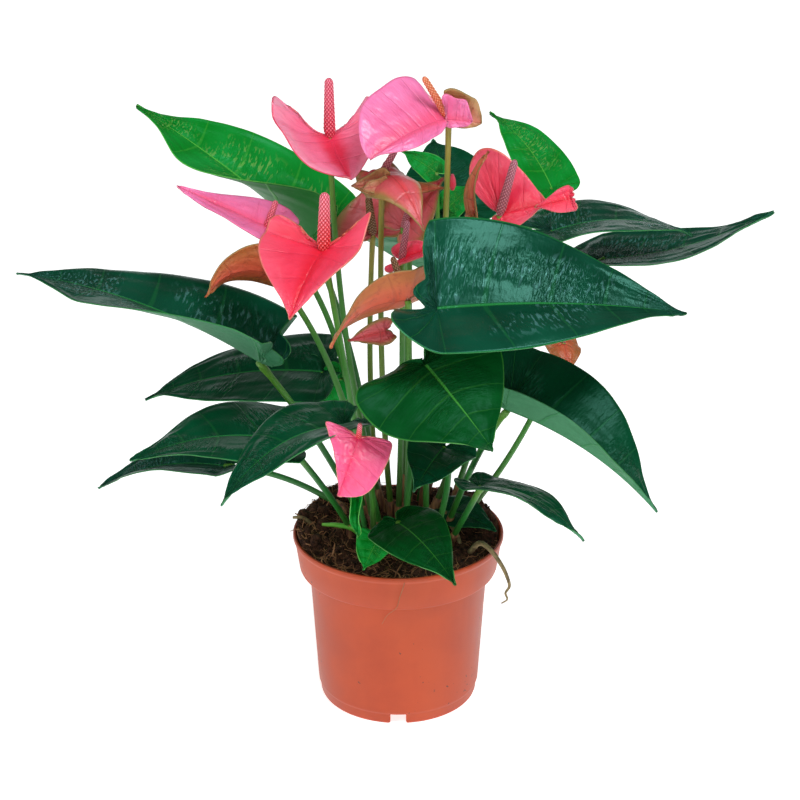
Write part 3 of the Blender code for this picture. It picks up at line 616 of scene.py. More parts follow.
def stem_material(name, foot, middle, top, roughness=0.42):
    """A round stem that changes colour on its way up, with fine ribs along it."""
    material, tree, shader = new_material(name, roughness)
    place = node(tree, "ShaderNodeUVMap").outputs["UV"]
    height = node(tree, "ShaderNodeSeparateXYZ", {0: place}).outputs[1]
    tone = mixed(tree, between(tree, height, 0.02, 0.45), foot, middle)
    tone = mixed(tree, between(tree, height, 0.6, 1.0), tone, top)
    blotch = object_noise(tree, 180, 4, 0.6)
    tone = mixed(tree, between(tree, blotch, 0.45, 0.75, 0, 0.45), tone, middle)
    tree.links.new(tone, shader.inputs["Base Color"])
    ribs = node(tree, "ShaderNodeMapping", {"Vector": place, "Scale": (26, 3, 1)}).outputs[0]
    inputs = {"Vector": ribs, "Scale": 1.0, "Detail": 3.0}
    ribbed = node(tree, "ShaderNodeTexNoise", inputs).outputs["Fac"]
    add_bump(tree, shader, calc(tree, "ADD", ribbed, blotch), 0.3)
    return material


def stem_path(row, end):
    """A stem's line from under the peat, by way of the row's halfway point, to its end."""
    x, y = row["root"]
    start = Vector((x, y, peat_height(x, y) + 3.0))
    control = 2 * Vector(row["via"]) - (start + end) / 2
    line = [start.lerp(control, i / 48).lerp(control.lerp(end, i / 48), i / 48) for i in range(49)]
    below = Vector((x, y, peat_height(x, y) - 7.0))
    return [below, below.lerp(start, 0.5), *line]


# The sixth colour of each leaf look is the painted highlight on its wrinkles' crests.
dark_leaf = leaf_materials("dark_leaf", (0.001, 0.036, 0.016), (0.003, 0.068, 0.034),
                           (0.02, 0.22, 0.045), (0.035, 0.15, 0.07), (0.15, 0.38, 0.38), 0.22, 0.34)
deep_leaf = leaf_materials("deep_leaf", (0.001, 0.040, 0.014), (0.002, 0.065, 0.025),
                           (0.02, 0.20, 0.04), (0.05, 0.19, 0.09), (0.04, 0.17, 0.11), 0.27, 0.2)
mid_leaf = leaf_materials("mid_leaf", (0.001, 0.046, 0.007), (0.002, 0.072, 0.012),
                          (0.05, 0.27, 0.035), (0.04, 0.19, 0.05), (0.01, 0.11, 0.03), 0.3, 0.1)
bright_leaf = leaf_materials("bright_leaf", (0.002, 0.20, 0.012), (0.006, 0.30, 0.04),
                             (0.10, 0.52, 0.06), (0.02, 0.17, 0.03), (0.36, 0.60, 0.16), 0.3, 0.2)
petiole_green = stem_material("petiole_green", (0.03, 0.15, 0.015), (0.010, 0.135, 0.016),
                              (0.09, 0.25, 0.02))

petiole_young = stem_material("petiole_young", (0.08, 0.42, 0.03), (0.12, 0.50, 0.04),
                              (0.20, 0.55, 0.06))

# root: where the petiole leaves the peat. via: halfway up it. collar: where petiole and blade
# join. tip: the blade's end. faces: where the upper side looks. The rest is for the (left, right)
# half: fold at the collar, open further on, cup added by the margin, lift and length of the lobe.
LEAVES = {
    "leaf_top_left": dict(
        root=(-12, 30), via=(-26, 36, 190), collar=(-48, 30, 265), tip=(-145, 64, 331),
        faces=(5, -32, 95), width=(80, 80), arch=4, fold=(80, 18), open=(10, 8), cup=(0, -6),
        lift=(4, 4), lobes=(0.1, 0.3), looks=bright_leaf,
    ),
    "leaf_left": dict(
        root=(-20, 2), via=(-44, -20, 165), collar=(-73, -38, 219), tip=(-208, 10, 252),
        faces=(5, -14, 100), width=(84, 84), arch=9, fold=(50, 14), open=(10, 5), cup=(0, -4),
        lift=(6, 12), lobes=(0.1, 0.0), looks=dark_leaf,
    ),
    "leaf_left_middle": dict(
        root=(-19, 18), via=(-27, 16, 148), collar=(-43, 24, 188), tip=(-145, 34, 167),
        faces=(-20, -22, 100), width=(70, 70), arch=8, fold=(12, 10), open=(6, 6), cup=(-14, -14),
        lift=(0, 0), lobes=(0.3, 0.3), looks=deep_leaf,
    ),
    "leaf_left_lower": dict(
        root=(-27, -6), via=(-42, -28, 142), collar=(-60, -45, 177), tip=(-141, -63, 173),
        faces=(-14, -18, 100), width=(64, 64), arch=8, fold=(14, 14), open=(10, 6),
        cup=(-10, -14), lift=(0, 0), lobes=(0.3, 0.3), looks=deep_leaf,
    ),
    "leaf_front_left": dict(
        root=(-10, -12), via=(-18, -38, 155), collar=(-28, -62, 193), tip=(-90, -104, 167),
        faces=(-35, -25, 90), width=(56, 56), arch=12, fold=(30, 10), open=(8, 4), cup=(-14, -10),
        lift=(0, 0), lobes=(0.1, 0.6), looks=deep_leaf,
    ),
    "leaf_left_back": dict(
        root=(-31, 20), via=(-66, 32, 118), collar=(-101, 40, 122), tip=(-179, 60, 98),
        faces=(-20, -10, 100), width=(42, 42), arch=8, fold=(20, 20), open=(20, 20), cup=(0, 0),
        lift=(0, 0), lobes=(0.8, 0.8), looks=dark_leaf,
    ),
    "leaf_right_large": dict(
        root=(16, -6), via=(16, -36, 190), collar=(20, -70, 261), tip=(148, -58, 254),
        faces=(0, -52, 85), width=(94, 78), arch=6, fold=(28, 24), open=(10, 26), cup=(-8, -16),
        lift=(2, 11), lobes=(0.15, 0.7), outline=(LEAF_OUTLINE, ROUND_LOBE), looks=dark_leaf,
    ),
    "leaf_centre": dict(
        root=(4, -16), via=(8, -42, 175), collar=(14, -84, 236), tip=(47, -122, 206),
        faces=(0, -57, 73), width=(72, 84), arch=2, fold=(6, 6), open=(0, 0), cup=(-10, -10),
        lift=(-5, -4), lobes=(0.68, 0.7), wave=3.5, outline=LOBED_OUTLINE, looks=mid_leaf,
    ),
    "leaf_right_lower": dict(
        root=(28, -2), via=(43, -30, 160), collar=(57, -50, 197), tip=(136, -75, 149),
        faces=(25, -62, 70), width=(80, 28), arch=12, fold=(14, 105), open=(6, 95), cup=(-10, 0),
        lift=(2, 2), lobes=(0.8, 0.8), looks=deep_leaf,
    ),
    "leaf_right_back": dict(
        root=(32, 28), via=(68, 48, 190), collar=(117, 60, 243), tip=(210, 52, 274),
        faces=(-30, -2, 95), width=(54, 54), arch=-6, fold=(12, 12), open=(4, 4), cup=(0, 0),
        lift=(0, 0), lobes=(1.0, 1.0), looks=dark_leaf,
    ),
    "leaf_right_upper": dict(
        root=(24, 28), via=(50, 34, 190), collar=(85, 34, 268), tip=(165, 48, 261),
        faces=(5, -2, 100), width=(56, 56), arch=8, fold=(12, 12), open=(6, 6), cup=(-8, -8),
        lift=(0, 0), lobes=(1.0, 1.0), looks=dark_leaf,
    ),
    "leaf_top_right": dict(
        root=(16, 38), via=(50, 64, 200), collar=(88, 82, 278), tip=(53, 110, 315),
        faces=(50, -60, 60), width=(38, 42), arch=6, fold=(10, 10), open=(6, 6), cup=(-6, -6),
        lift=(0, 0), lobes=(0.5, 0.5), looks=bright_leaf,
    ),
    "leaf_top_back": dict(
        root=(6, 34), via=(22, 44, 195), collar=(32, 64, 270), tip=(20, 106, 300),
        faces=(0, -60, 70), width=(58, 58), arch=4, fold=(8, 8), open=(6, 6), cup=(-6, -6),
        lift=(0, 0), lobes=(0.8, 0.8), looks=deep_leaf,
    ),
    "leaf_small_centre": dict(
        root=(20, -20), via=(27, -36, 148), collar=(24, -66, 182), tip=(8, -100, 173),
        faces=(10, -50, 90), width=(36, 36), arch=4, fold=(14, 14), open=(10, 10), cup=(0, 0),
        lift=(4, 4), lobes=(0.8, 0.8), looks=deep_leaf,
    ),
    "leaf_right_low": dict(
        root=(30, -16), via=(38, -32, 128), collar=(44, -42, 148), tip=(97, -85, 137),
        faces=(20, 0, 100), width=(30, 30), arch=9, fold=(10, 14), open=(6, 6), cup=(-8, -8),
        lift=(0, 0), lobes=(0.6, 0.6), looks=deep_leaf,
    ),
    "leaf_front_low": dict(
        root=(-4, -26), via=(-2, -36, 120), collar=(0, -50, 130), tip=(30, -100, 119),
        faces=(0, -50, 85), width=(40, 38), arch=6, fold=(4, 4), open=(0, 0), cup=(-12, -12),
        lift=(0, 0), lobes=(0.5, 0.5), looks=mid_leaf,
    ),
    "leaf_back_left": dict(
        root=(-27, 37), via=(-36, 52, 130), collar=(-45, 66, 160), tip=(-86, 90, 150),
        faces=(-20, -10, 95), width=(52, 52), arch=8, fold=(10, 10), open=(6, 6), cup=(-8, -8),
        lift=(0, 0), lobes=(1.0, 1.0), looks=deep_leaf,
    ),
    "leaf_back_right": dict(
        root=(4, 44), via=(6, 64, 180), collar=(6, 78, 246), tip=(28, 118, 204),
        faces=(10, 60, 80), width=(64, 64), arch=8, fold=(10, 10), open=(6, 6), cup=(-8, -8),
        lift=(0, 0), lobes=(1.0, 1.0), looks=deep_leaf,
    ),
}


def petiole_radius(t):
    """Thick at the foot, and swollen into a knee under the blade."""
    return 1.75 + 0.9 * max(0.0, 1 - t / 0.14) ** 1.5 + 0.45 * math.exp(-((t - 0.955) / 0.03) ** 2)


for name, row in LEAVES.items():
    blade = grow_blade(
        name + "_blade", row, LEAF_OUTLINE, 110, 26, LEAF_VEINS, LEAF_THICKNESS, row["looks"]
    )
    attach(blade, "root")
    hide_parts(name)
    along, _, up = blade_axes(row)
    bm = bmesh.new()
    add_tube(bm, stem_path(row, Vector(row["collar"]) - 0.3 * up + 1.0 * along), petiole_radius, 12)
    bmesh.ops.recalc_face_normals(bm, faces=bm.faces)
    finish_piece(name + "_petiole", bm, [petiole_green], "stalk", [name])

# Young and hidden leaves, with no solid of their own in the CAD.
SMALL_LEAF_THICKNESS = 0.5
SMALL_LEAVES = {
    "leaf_on_peat": dict(
        root=(20, 6), via=(24, 8, 105), collar=(27, 8, 109), tip=(55, -14, 107),
        faces=(-10, -30, 90), width=(26, 26), arch=3, fold=(12, 12), open=(6, 6), cup=(-8, -8),
        lift=(0, 0), lobes=(0.6, 0.6), looks=deep_leaf,
    ),
    "leaf_under_front": dict(
        root=(-8, -30), via=(-9, -38, 112), collar=(-11, -45, 118), tip=(-19, -55, 104),
        faces=(-10, -80, 50), width=(18, 22), arch=1, fold=(10, 10), open=(6, 6), cup=(-8, -8),
        lift=(0, 0), lobes=(0.6, 0.6), looks=bright_leaf,
    ),
    "leaf_young_folded": dict(
        root=(-16, -26), via=(-20, -34, 128), collar=(-21, -46, 149), tip=(-22, -50, 121),
        faces=(-30, -90, 20), width=(15, 15), arch=1, fold=(62, 62), open=(50, 50), cup=(10, 10),
        lift=(0, 0), lobes=(0.6, 0.6), looks=bright_leaf,
    ),
    "leaf_back_bright": dict(
        root=(-14, 16), via=(-24, 20, 150), collar=(-32, 20, 186), tip=(-46, 20, 167),
        faces=(-20, -70, 60), width=(24, 24), arch=2, fold=(10, 10), open=(6, 6), cup=(-8, -8),
        lift=(0, 0), lobes=(0.8, 0.8), looks=bright_leaf,
    ),
    "leaf_back_dark": dict(
        root=(-22, 30), via=(-34, 32, 150), collar=(-43, 32, 185), tip=(-56, 32, 166),
        faces=(-20, -70, 60), width=(26, 26), arch=2, fold=(10, 10), open=(6, 6), cup=(-8, -8),
        lift=(0, 0), lobes=(0.8, 0.8), looks=deep_leaf,
    ),
    "leaf_top_small": dict(
        root=(6, 30), via=(20, 40, 200), collar=(21, 50, 297), tip=(2, 50, 309),
        faces=(0, -70, 60), width=(16, 16), arch=1, fold=(10, 10), open=(6, 6), cup=(-8, -8),
        lift=(0, 0), lobes=(0.8, 0.8), looks=bright_leaf,
    ),
    "leaf_pale_small": dict(
        root=(12, 34), via=(24, 50, 190), collar=(28, 58, 274), tip=(42, 58, 287),
        faces=(0, -70, 60), width=(18, 18), arch=1, fold=(10, 10), open=(6, 6), cup=(-8, -8),
        lift=(0, 0), lobes=(0.8, 0.8), looks=bright_leaf,
    ),
}
for name, row in SMALL_LEAVES.items():
    blade = grow_blade(
        name + "_blade", row, LEAF_OUTLINE, 60, 14, LEAF_VEINS, SMALL_LEAF_THICKNESS, row["looks"]
    )
    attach(blade, "root")
    bm = bmesh.new()
    add_tube(bm, stem_path(row, Vector(row["collar"])), lambda t: 1.3, 10)
    bmesh.ops.recalc_face_normals(bm, faces=bm.faces)
    finish_piece(name + "_petiole", bm, [petiole_green], "stalk")

# ------------------------------------------------------------------------------ the flowers
# Each is a waxy spathe on a tall stalk, with a knobbly spadix standing in its notch. Young ones
# are pink to coral, and old ones turn olive and brown from the margin in.

HEART = (
    (1.0, 0.0), (0.93, 0.07), (0.80, 0.25), (0.58, 0.56), (0.30, 0.86), (0.02, 1.0),
    (-0.22, 0.98), (-0.40, 0.78), (-0.40, 0.46), (-0.20, 0.15), (-0.04, 0.0),
)
HORNED = (
    (1.0, 0.0), (0.93, 0.08), (0.80, 0.27), (0.63, 0.55), (0.44, 0.82), (0.25, 0.98),
    (0.03, 1.03), (-0.25, 1.0), (-0.55, 0.88), (-0.30, 0.52), (-0.14, 0.24), (-0.02, 0.0),
)
SLENDER = (
    (1.0, 0.0), (0.93, 0.12), (0.80, 0.45), (0.65, 0.80), (0.50, 1.0), (0.35, 0.95), (0.20, 0.70),
    (0.08, 0.38), (0.0, 0.12), (-0.02, 0.0),
)
SQUARE = (
    (1.0, 0.0), (0.95, 0.35), (0.84, 0.68), (0.67, 0.86), (0.36, 0.97), (0.05, 1.0),
    (-0.12, 0.92), (-0.08, 0.5), (0.0, 0.0),
)
SCOOP = (
    (1.0, 0.0), (0.84, 0.11), (0.66, 0.25), (0.48, 0.41), (0.27, 0.62), (0.08, 0.86),
    (-0.08, 1.0), (-0.10, 0.55), (0.0, 0.0),
)
FULL = (
    (1.0, 0.0), (0.95, 0.36), (0.78, 0.74), (0.61, 0.91), (0.42, 0.97), (0.22, 1.0),
    (0.05, 0.86), (0.06, 0.55), (0.04, 0.28), (-0.02, 0.0),
)
SPATHE_VEINS = 7
SPATHE_THICKNESS = 0.6


def spathe_materials(name, heart, field, far, margin, back, stripe, gloss=0.3, aged=0.0):
    """The upper side, the back and the margin of a spathe.

    heart is the colour round the spadix, field over most of it, far towards the margin. stripe
    is the veins' colour, and aged the share of it that has turned to the back's colour.
    """
    pieces = []
    for side in ("upper", "back"):
        material, tree, shader = new_material(f"{name}_{side}", gloss + 0.1 * (side == "back"))
        share, out, place = blade_coordinates(tree)
        patch = object_noise(tree, 34, 4, 0.55)
        wander = calc(tree, "MULTIPLY_ADD", patch, 0.5, calc(tree, "SUBTRACT", out, 0.25))
        tone = mixed(tree, between(tree, wander, 0.05, 0.42), heart, field)
        tone = mixed(tree, between(tree, wander, 0.45, 0.95), tone, far)
        if side == "back":
            tone = mixed(tree, between(tree, wander, 0.3, 0.85, 0.25, 1.0), tone, back)
        elif aged:
            tone = mixed(tree, between(tree, wander, 1.05 - aged, 1.2 - aged * 0.6), tone, back)
        vector = node(tree, "ShaderNodeMapping", {"Vector": place, "Scale": (64, 3, 1)}).outputs[0]
        inputs = {"Vector": vector, "Scale": 1.0, "Detail": 3.0, "Roughness": 0.6}
        streak = node(tree, "ShaderNodeTexNoise", inputs).outputs["Fac"]
        faint = 0.55 if side == "back" else 0.3
        tone = mixed(tree, between(tree, streak, 0.5, 0.72, 0.0, faint), tone, stripe)
        veins = vein_mask(tree, share, out, SPATHE_VEINS, 0.07)
        midrib = between(tree, out, 0.01, 0.03, 1.0, 0.0)
        lines = calc(tree, "MAXIMUM", calc(tree, "MULTIPLY", veins, 0.8), midrib)
        tone = mixed(tree, calc(tree, "MULTIPLY", lines, 0.16 + 0.5 * aged), tone, stripe)
        rim = between(tree, out, 0.965, 0.985)
        tone = mixed(tree, calc(tree, "MULTIPLY", rim, 0.7), tone, margin)
        tree.links.new(tone, shader.inputs["Base Color"])
        shader.inputs["Subsurface Weight"].default_value = 0.12
        shader.inputs["Subsurface Radius"].default_value = (1.0, 0.3, 0.2)
        shader.inputs["Subsurface Scale"].default_value = 0.004
        relief = calc(tree, "MULTIPLY_ADD", object_noise(tree, 240, 3, 0.5), 0.4, streak)
        relief = calc(tree, "MULTIPLY_ADD", lines, -0.4, relief)
        add_bump(tree, shader, relief, 0.5)
        pieces.append(material)

    edge, tree, shader = new_material(name + "_margin", gloss)
    tone = mixed(tree, object_noise(tree, 150, 2), margin, tuple(0.75 * c for c in margin))
    tree.links.new(tone, shader.inputs["Base Color"])
    return [*pieces, edge]


def spadix_material(name, foot, top, groove, roughness=0.5):
    """Close-set knobs, paler on their tops, on a spadix that changes colour towards its end."""
    material, tree, shader = new_material(name, roughness)
    place = node(tree, "ShaderNodeUVMap").outputs["UV"]
    height = node(tree, "ShaderNodeSeparateXYZ", {0: place}).outputs[1]
    knob = node(tree, "ShaderNodeAttribute", attribute_name="knob").outputs["Fac"]
    tone = mixed(tree, between(tree, height, 0.1, 0.9), foot, top)
    tone = mixed(tree, between(tree, knob, 0.05, 0.55), groove, tone)
    pale = tuple(min(1.0, 0.3 + 0.8 * c) for c in top)
    tone = mixed(tree, between(tree, knob, 0.6, 0.95, 0, 0.6), tone, pale)
    tree.links.new(tone, shader.inputs["Base Color"])
    shader.inputs["Subsurface Weight"].default_value = 0.1
    shader.inputs["Subsurface Scale"].default_value = 0.002
    add_bump(tree, shader, object_noise(tree, 1800, 2), 0.1)
    return material


def spadix_radius(t):
    """A blunt club, a little slimmer at the foot, that tapers to a round end."""
    dome = (1 - max(0.0, (t - 0.92) / 0.085) ** 2) ** 0.5
    return min(1.0, 0.62 + 3 * t) * (1 - 0.32 * t) * dome


def grow_spadix(name, start, end, thick, material, bow=0.0):
    """A round spike whose knobs stand between two families of spiral grooves."""
    start, end = Vector(start), Vector(end)
    aside = (end - start).cross(Vector((0, 1, 0))).normalized()
    middle = (start + end) / 2 + 2 * bow * aside
    turns = round(1.5 * thick) + 4
    rows = (end - start).length / (math.tau * thick / turns)
    steps = round(7 * rows)
    path = [start.lerp(middle, i / steps).lerp(middle.lerp(end, i / steps), i / steps)
            for i in range(steps + 1)]
    bm = bmesh.new()
    add_tube(bm, path, lambda t: thick * spadix_radius(t), 8 * turns)
    uv = bm.loops.layers.uv.verify()
    layer = bm.verts.layers.float.new("knob")
    for vert in bm.verts:
        u, v = vert.link_loops[0][uv].uv
        turn, along = math.pi * turns * u, math.pi * rows * v
        knob = abs(math.sin(turn + along) * math.sin(turn - along))
        vert[layer] = knob
        centre = path[min(max(round(v * (steps + 2)) - 1, 0), steps)]
        vert.co += (vert.co - centre) * 0.26 * (knob**0.6 - 0.5) * min(1.0, (1 - v) * 12)
    bmesh.ops.recalc_face_normals(bm, faces=bm.faces)
    finish_piece(name, bm, [material], "spadix", [name])


pink = spathe_materials("pink_spathe", (0.74, 0.030, 0.08), (0.87, 0.17, 0.30), (0.90, 0.29, 0.42),
                        (0.74, 0.06, 0.12), (0.70, 0.20, 0.22), (0.72, 0.05, 0.13))
pale_pink = spathe_materials("pale_pink_spathe", (0.85, 0.11, 0.24), (0.87, 0.17, 0.37),
                             (0.88, 0.21, 0.45), (0.85, 0.18, 0.34), (0.80, 0.30, 0.34),
                             (0.72, 0.05, 0.18))
coral = spathe_materials("coral_spathe", (0.78, 0.014, 0.04), (0.86, 0.040, 0.09),
                         (0.87, 0.085, 0.15), (0.75, 0.22, 0.14), (0.60, 0.12, 0.06),
                         (0.66, 0.015, 0.05))
hot_pink = spathe_materials("hot_pink_spathe", (0.86, 0.04, 0.15), (0.88, 0.09, 0.23),
                            (0.88, 0.11, 0.27), (0.80, 0.30, 0.20), (0.70, 0.10, 0.14),
                            (0.80, 0.035, 0.12))
aged_red = spathe_materials("aged_red_spathe", (0.62, 0.06, 0.07), (0.60, 0.10, 0.12),
                            (0.50, 0.12, 0.08), (0.28, 0.17, 0.05), (0.26, 0.19, 0.05),
                            (0.30, 0.05, 0.03), 0.36, 0.35)
aged_olive = spathe_materials("aged_olive_spathe", (0.55, 0.10, 0.05), (0.46, 0.11, 0.04),
                              (0.30, 0.12, 0.03), (0.24, 0.16, 0.04), (0.34, 0.11, 0.03),
                              (0.20, 0.04, 0.02), 0.36, 0.5)
aged_back = spathe_materials("aged_back_spathe", (0.74, 0.09, 0.05), (0.70, 0.11, 0.05),
                             (0.50, 0.15, 0.04), (0.30, 0.19, 0.05), (0.48, 0.14, 0.035),
                             (0.28, 0.035, 0.015), 0.38, 0.3)
aged_tan = spathe_materials("aged_tan_spathe", (0.72, 0.24, 0.17), (0.62, 0.27, 0.15),
                            (0.46, 0.27, 0.10), (0.30, 0.20, 0.06), (0.52, 0.28, 0.13),
                            (0.55, 0.16, 0.09), 0.4, 0.15)
green_stalk = stem_material("green_stalk", (0.05, 0.11, 0.02), (0.035, 0.20, 0.014), (0.12, 0.30, 0.025))
olive_stalk = stem_material("olive_stalk", (0.04, 0.13, 0.012), (0.13, 0.22, 0.015), (0.30, 0.24, 0.03))
pink_spadix = spadix_material("pink_spadix", (0.74, 0.06, 0.11), (0.84, 0.17, 0.25), (0.42, 0.015, 0.045))
coral_spadix = spadix_material("coral_spadix", (0.82, 0.03, 0.035), (0.84, 0.20, 0.28), (0.42, 0.008, 0.012))
orange_spadix = spadix_material("orange_spadix", (0.66, 0.12, 0.04), (0.72, 0.24, 0.10), (0.50, 0.08, 0.03))
mauve_spadix = spadix_material("mauve_spadix", (0.50, 0.10, 0.13), (0.46, 0.14, 0.20), (0.20, 0.05, 0.06))
brown_spadix = spadix_material("brown_spadix", (0.24, 0.09, 0.025), (0.30, 0.15, 0.04), (0.07, 0.025, 0.012))

# The same terms as the leaves'. spadix: where the spadix ends. thick: the radius of the spadix.
FLOWERS = {
    "flower_1": dict(
        root=(-9, 20), via=(-28, 8, 210), collar=(-36, 2, 331), tip=(-24, -36, 319),
        faces=(0, -40, 90), width=(61, 72), arch=-3, fold=(10, 14), open=(6, 7), cup=(50, 44),
        lift=(2, 8), lobes=(0.45, 0.7), spadix=(-36, 2, 362), thick=3.1, outline=HORNED,
        looks=pink, spike=pink_spadix, stalk=green_stalk,
    ),
    "flower_2": dict(
        root=(14, 24), via=(23, 4, 230), collar=(26, -10, 344), tip=(-14, -45, 332),
        faces=(-20, -65, 60), width=(20, 62), arch=4, fold=(0, 14), open=(0, 10), cup=(0, 0),
        lift=(0, 0), lobes=(0.05, 0.1), spadix=(13, -16, 367), thick=2.2, outline=(SLENDER, FULL),
        looks=pale_pink, spike=orange_spadix, stalk=olive_stalk,
    ),
    "flower_3": dict(
        root=(-14, -4), via=(-26, -26, 195), collar=(-38, -50, 286), tip=(-54, -82, 260),
        faces=(-15, -60, 70), width=(42, 64), arch=4, fold=(18, -2), open=(24, 2), cup=(4, 10),
        lift=(0, 6), lobes=(0.9, 0.3), spadix=(-37, -50, 316), thick=3.4, outline=HORNED,
        looks=coral, spike=coral_spadix, stalk=green_stalk,
    ),
    "flower_4": dict(
        root=(-24, 32), via=(-34, 12, 210), collar=(-69, -16, 287), tip=(-117, 0, 304),
        faces=(10, -28, 90), width=(32, 32), arch=0, fold=(16, 16), open=(10, 10), cup=(0, 0),
        lift=(0, 0), lobes=(0.6, 0.6), spadix=(-64, -12, 300), thick=2.0,
        outline=HEART, looks=pale_pink, spike=pink_spadix, stalk=green_stalk,
    ),
    "flower_5": dict(
        root=(-16, 10), via=(-35, -12, 200), collar=(-66, -30, 266), tip=(-100, -44, 258),
        faces=(-10, 80, 60), width=(40, 40), arch=8, fold=(10, 10), open=(10, 10), cup=(14, 14),
        lift=(0, 0), lobes=(0.6, 0.6), spadix=(-72, -19, 276), thick=2.4, outline=HEART,
        looks=aged_back, spike=brown_spadix, stalk=green_stalk,
    ),
    "flower_6": dict(
        root=(-4, 12), via=(-9, 0, 204), collar=(-8, -14, 316), tip=(13, -50, 296),
        faces=(0, -30, 90), width=(30, 34), arch=8, fold=(-6, -10), open=(0, 0), cup=(-40, -60),
        lift=(-4, -4), lobes=(0.8, 0.8), spadix=(2, -14, 334), thick=2.0, outline=HEART,
        looks=aged_red, spike=mauve_spadix, stalk=olive_stalk,
    ),
    "flower_7": dict(
        root=(-12, 38), via=(-16, 40, 180), collar=(-14, 30, 268), tip=(-18, 46, 290),
        faces=(0, -60, 60), width=(48, 44), arch=0, fold=(10, 10), open=(10, 10), cup=(0, 0),
        lift=(0, 0), lobes=(0.4, 0.4), spadix=(-16, 16, 293), thick=2.6, outline=HEART,
        looks=aged_red, spike=brown_spadix, stalk=olive_stalk,
    ),
    "flower_8": dict(
        root=(4, 20), via=(4, 18, 190), collar=(3, 14, 277), tip=(24, 2, 308),
        faces=(-30, -60, 40), width=(36, 36), arch=0, fold=(12, 12), open=(10, 10), cup=(0, 0),
        lift=(0, 0), lobes=(0.6, 0.6), spadix=(8, 0, 300), thick=2.0,
        outline=HEART, looks=aged_red, spike=mauve_spadix, stalk=green_stalk,
    ),
    "flower_9": dict(
        root=(0, 8), via=(2, -4, 190), collar=(2, -18, 270), tip=(20, -28, 280),
        faces=(-10, -40, 85), width=(22, 22), arch=0, fold=(14, 14), open=(10, 10), cup=(0, 0),
        lift=(0, 0), lobes=(0.8, 0.8), spadix=(5, -18, 291), thick=2.0,
        outline=HEART, looks=coral, spike=mauve_spadix, stalk=green_stalk,
    ),
    "flower_10": dict(
        root=(4, -6), via=(6, -26, 185), collar=(5, -43, 256), tip=(-34, -76, 242),
        faces=(-10, 80, 60), width=(40, 40), arch=8, fold=(10, 10), open=(10, 10), cup=(14, 14),
        lift=(0, 0), lobes=(0.6, 0.6), spadix=(-3, -33, 276), thick=2.2,
        outline=HEART, looks=aged_back, spike=brown_spadix, stalk=green_stalk,
    ),
    "flower_11": dict(
        root=(20, 14), via=(46, 8, 200), collar=(54, -4, 290), tip=(79, -12, 299),
        faces=(-5, -75, 45), width=(72, 20), arch=0, fold=(0, 0), open=(0, 0), cup=(14, 0),
        lift=(0, 0), lobes=(1.1, 0.6), spadix=(61, -12, 322), thick=2.6, outline=HEART,
        looks=coral, spike=mauve_spadix, stalk=green_stalk,
    ),
    "flower_12": dict(
        root=(-14, -22), via=(-15, -49, 160), collar=(-20, -95, 201), tip=(-30, -110, 175),
        faces=(0, -80, 30), width=(36, 36), arch=3, fold=(0, 0), open=(0, 0), cup=(-6, -6),
        lift=(0, 0), lobes=(1.0, 1.0), spadix=(-19, -101, 211), thick=1.5,
        outline=(SQUARE, SCOOP), looks=hot_pink, spike=coral_spadix, stalk=green_stalk,
    ),
    "flower_13": dict(
        root=(36, 6), via=(70, 20, 150), collar=(93, 30, 204), tip=(95, 14, 190),
        faces=(20, -50, 40), width=(22, 22), arch=2, fold=(-10, -10), open=(0, 0), cup=(-10, -10),
        lift=(0, 0), lobes=(1.0, 1.0), spadix=(90, 24, 226), thick=2.0,
        outline=HEART, looks=aged_olive, spike=mauve_spadix, stalk=green_stalk,
    ),
}


def stalk_radius(t):
    """A little slimmer on the way up, and flared again just under the spathe."""
    return 1.75 - 0.25 * t + 0.25 * max(0, t - 0.9) * 10


for name, row in FLOWERS.items():
    row.setdefault("quilt", 0.35)
    row.setdefault("dent", 0.7)
    spathe = grow_blade(
        name + "_spathe_petal", row, row["outline"], 70, 22, SPATHE_VEINS, SPATHE_THICKNESS,
        row["looks"],
    )
    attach(spathe, "root")
    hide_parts(name + "_spathe")
    collar, spike_end = Vector(row["collar"]), Vector(row["spadix"])
    axis = (spike_end - collar).normalized()
    grow_spadix(name + "_spadix", collar - 0.5 * axis, spike_end, row["thick"], row["spike"])
    bm = bmesh.new()
    add_tube(bm, stem_path(row, collar - 0.4 * axis), stalk_radius, 12)
    bmesh.ops.recalc_face_normals(bm, faces=bm.faces)
    finish_piece(name + "_flower_stalk", bm, [row["stalk"]], "stalk", [name + "_stalk"])

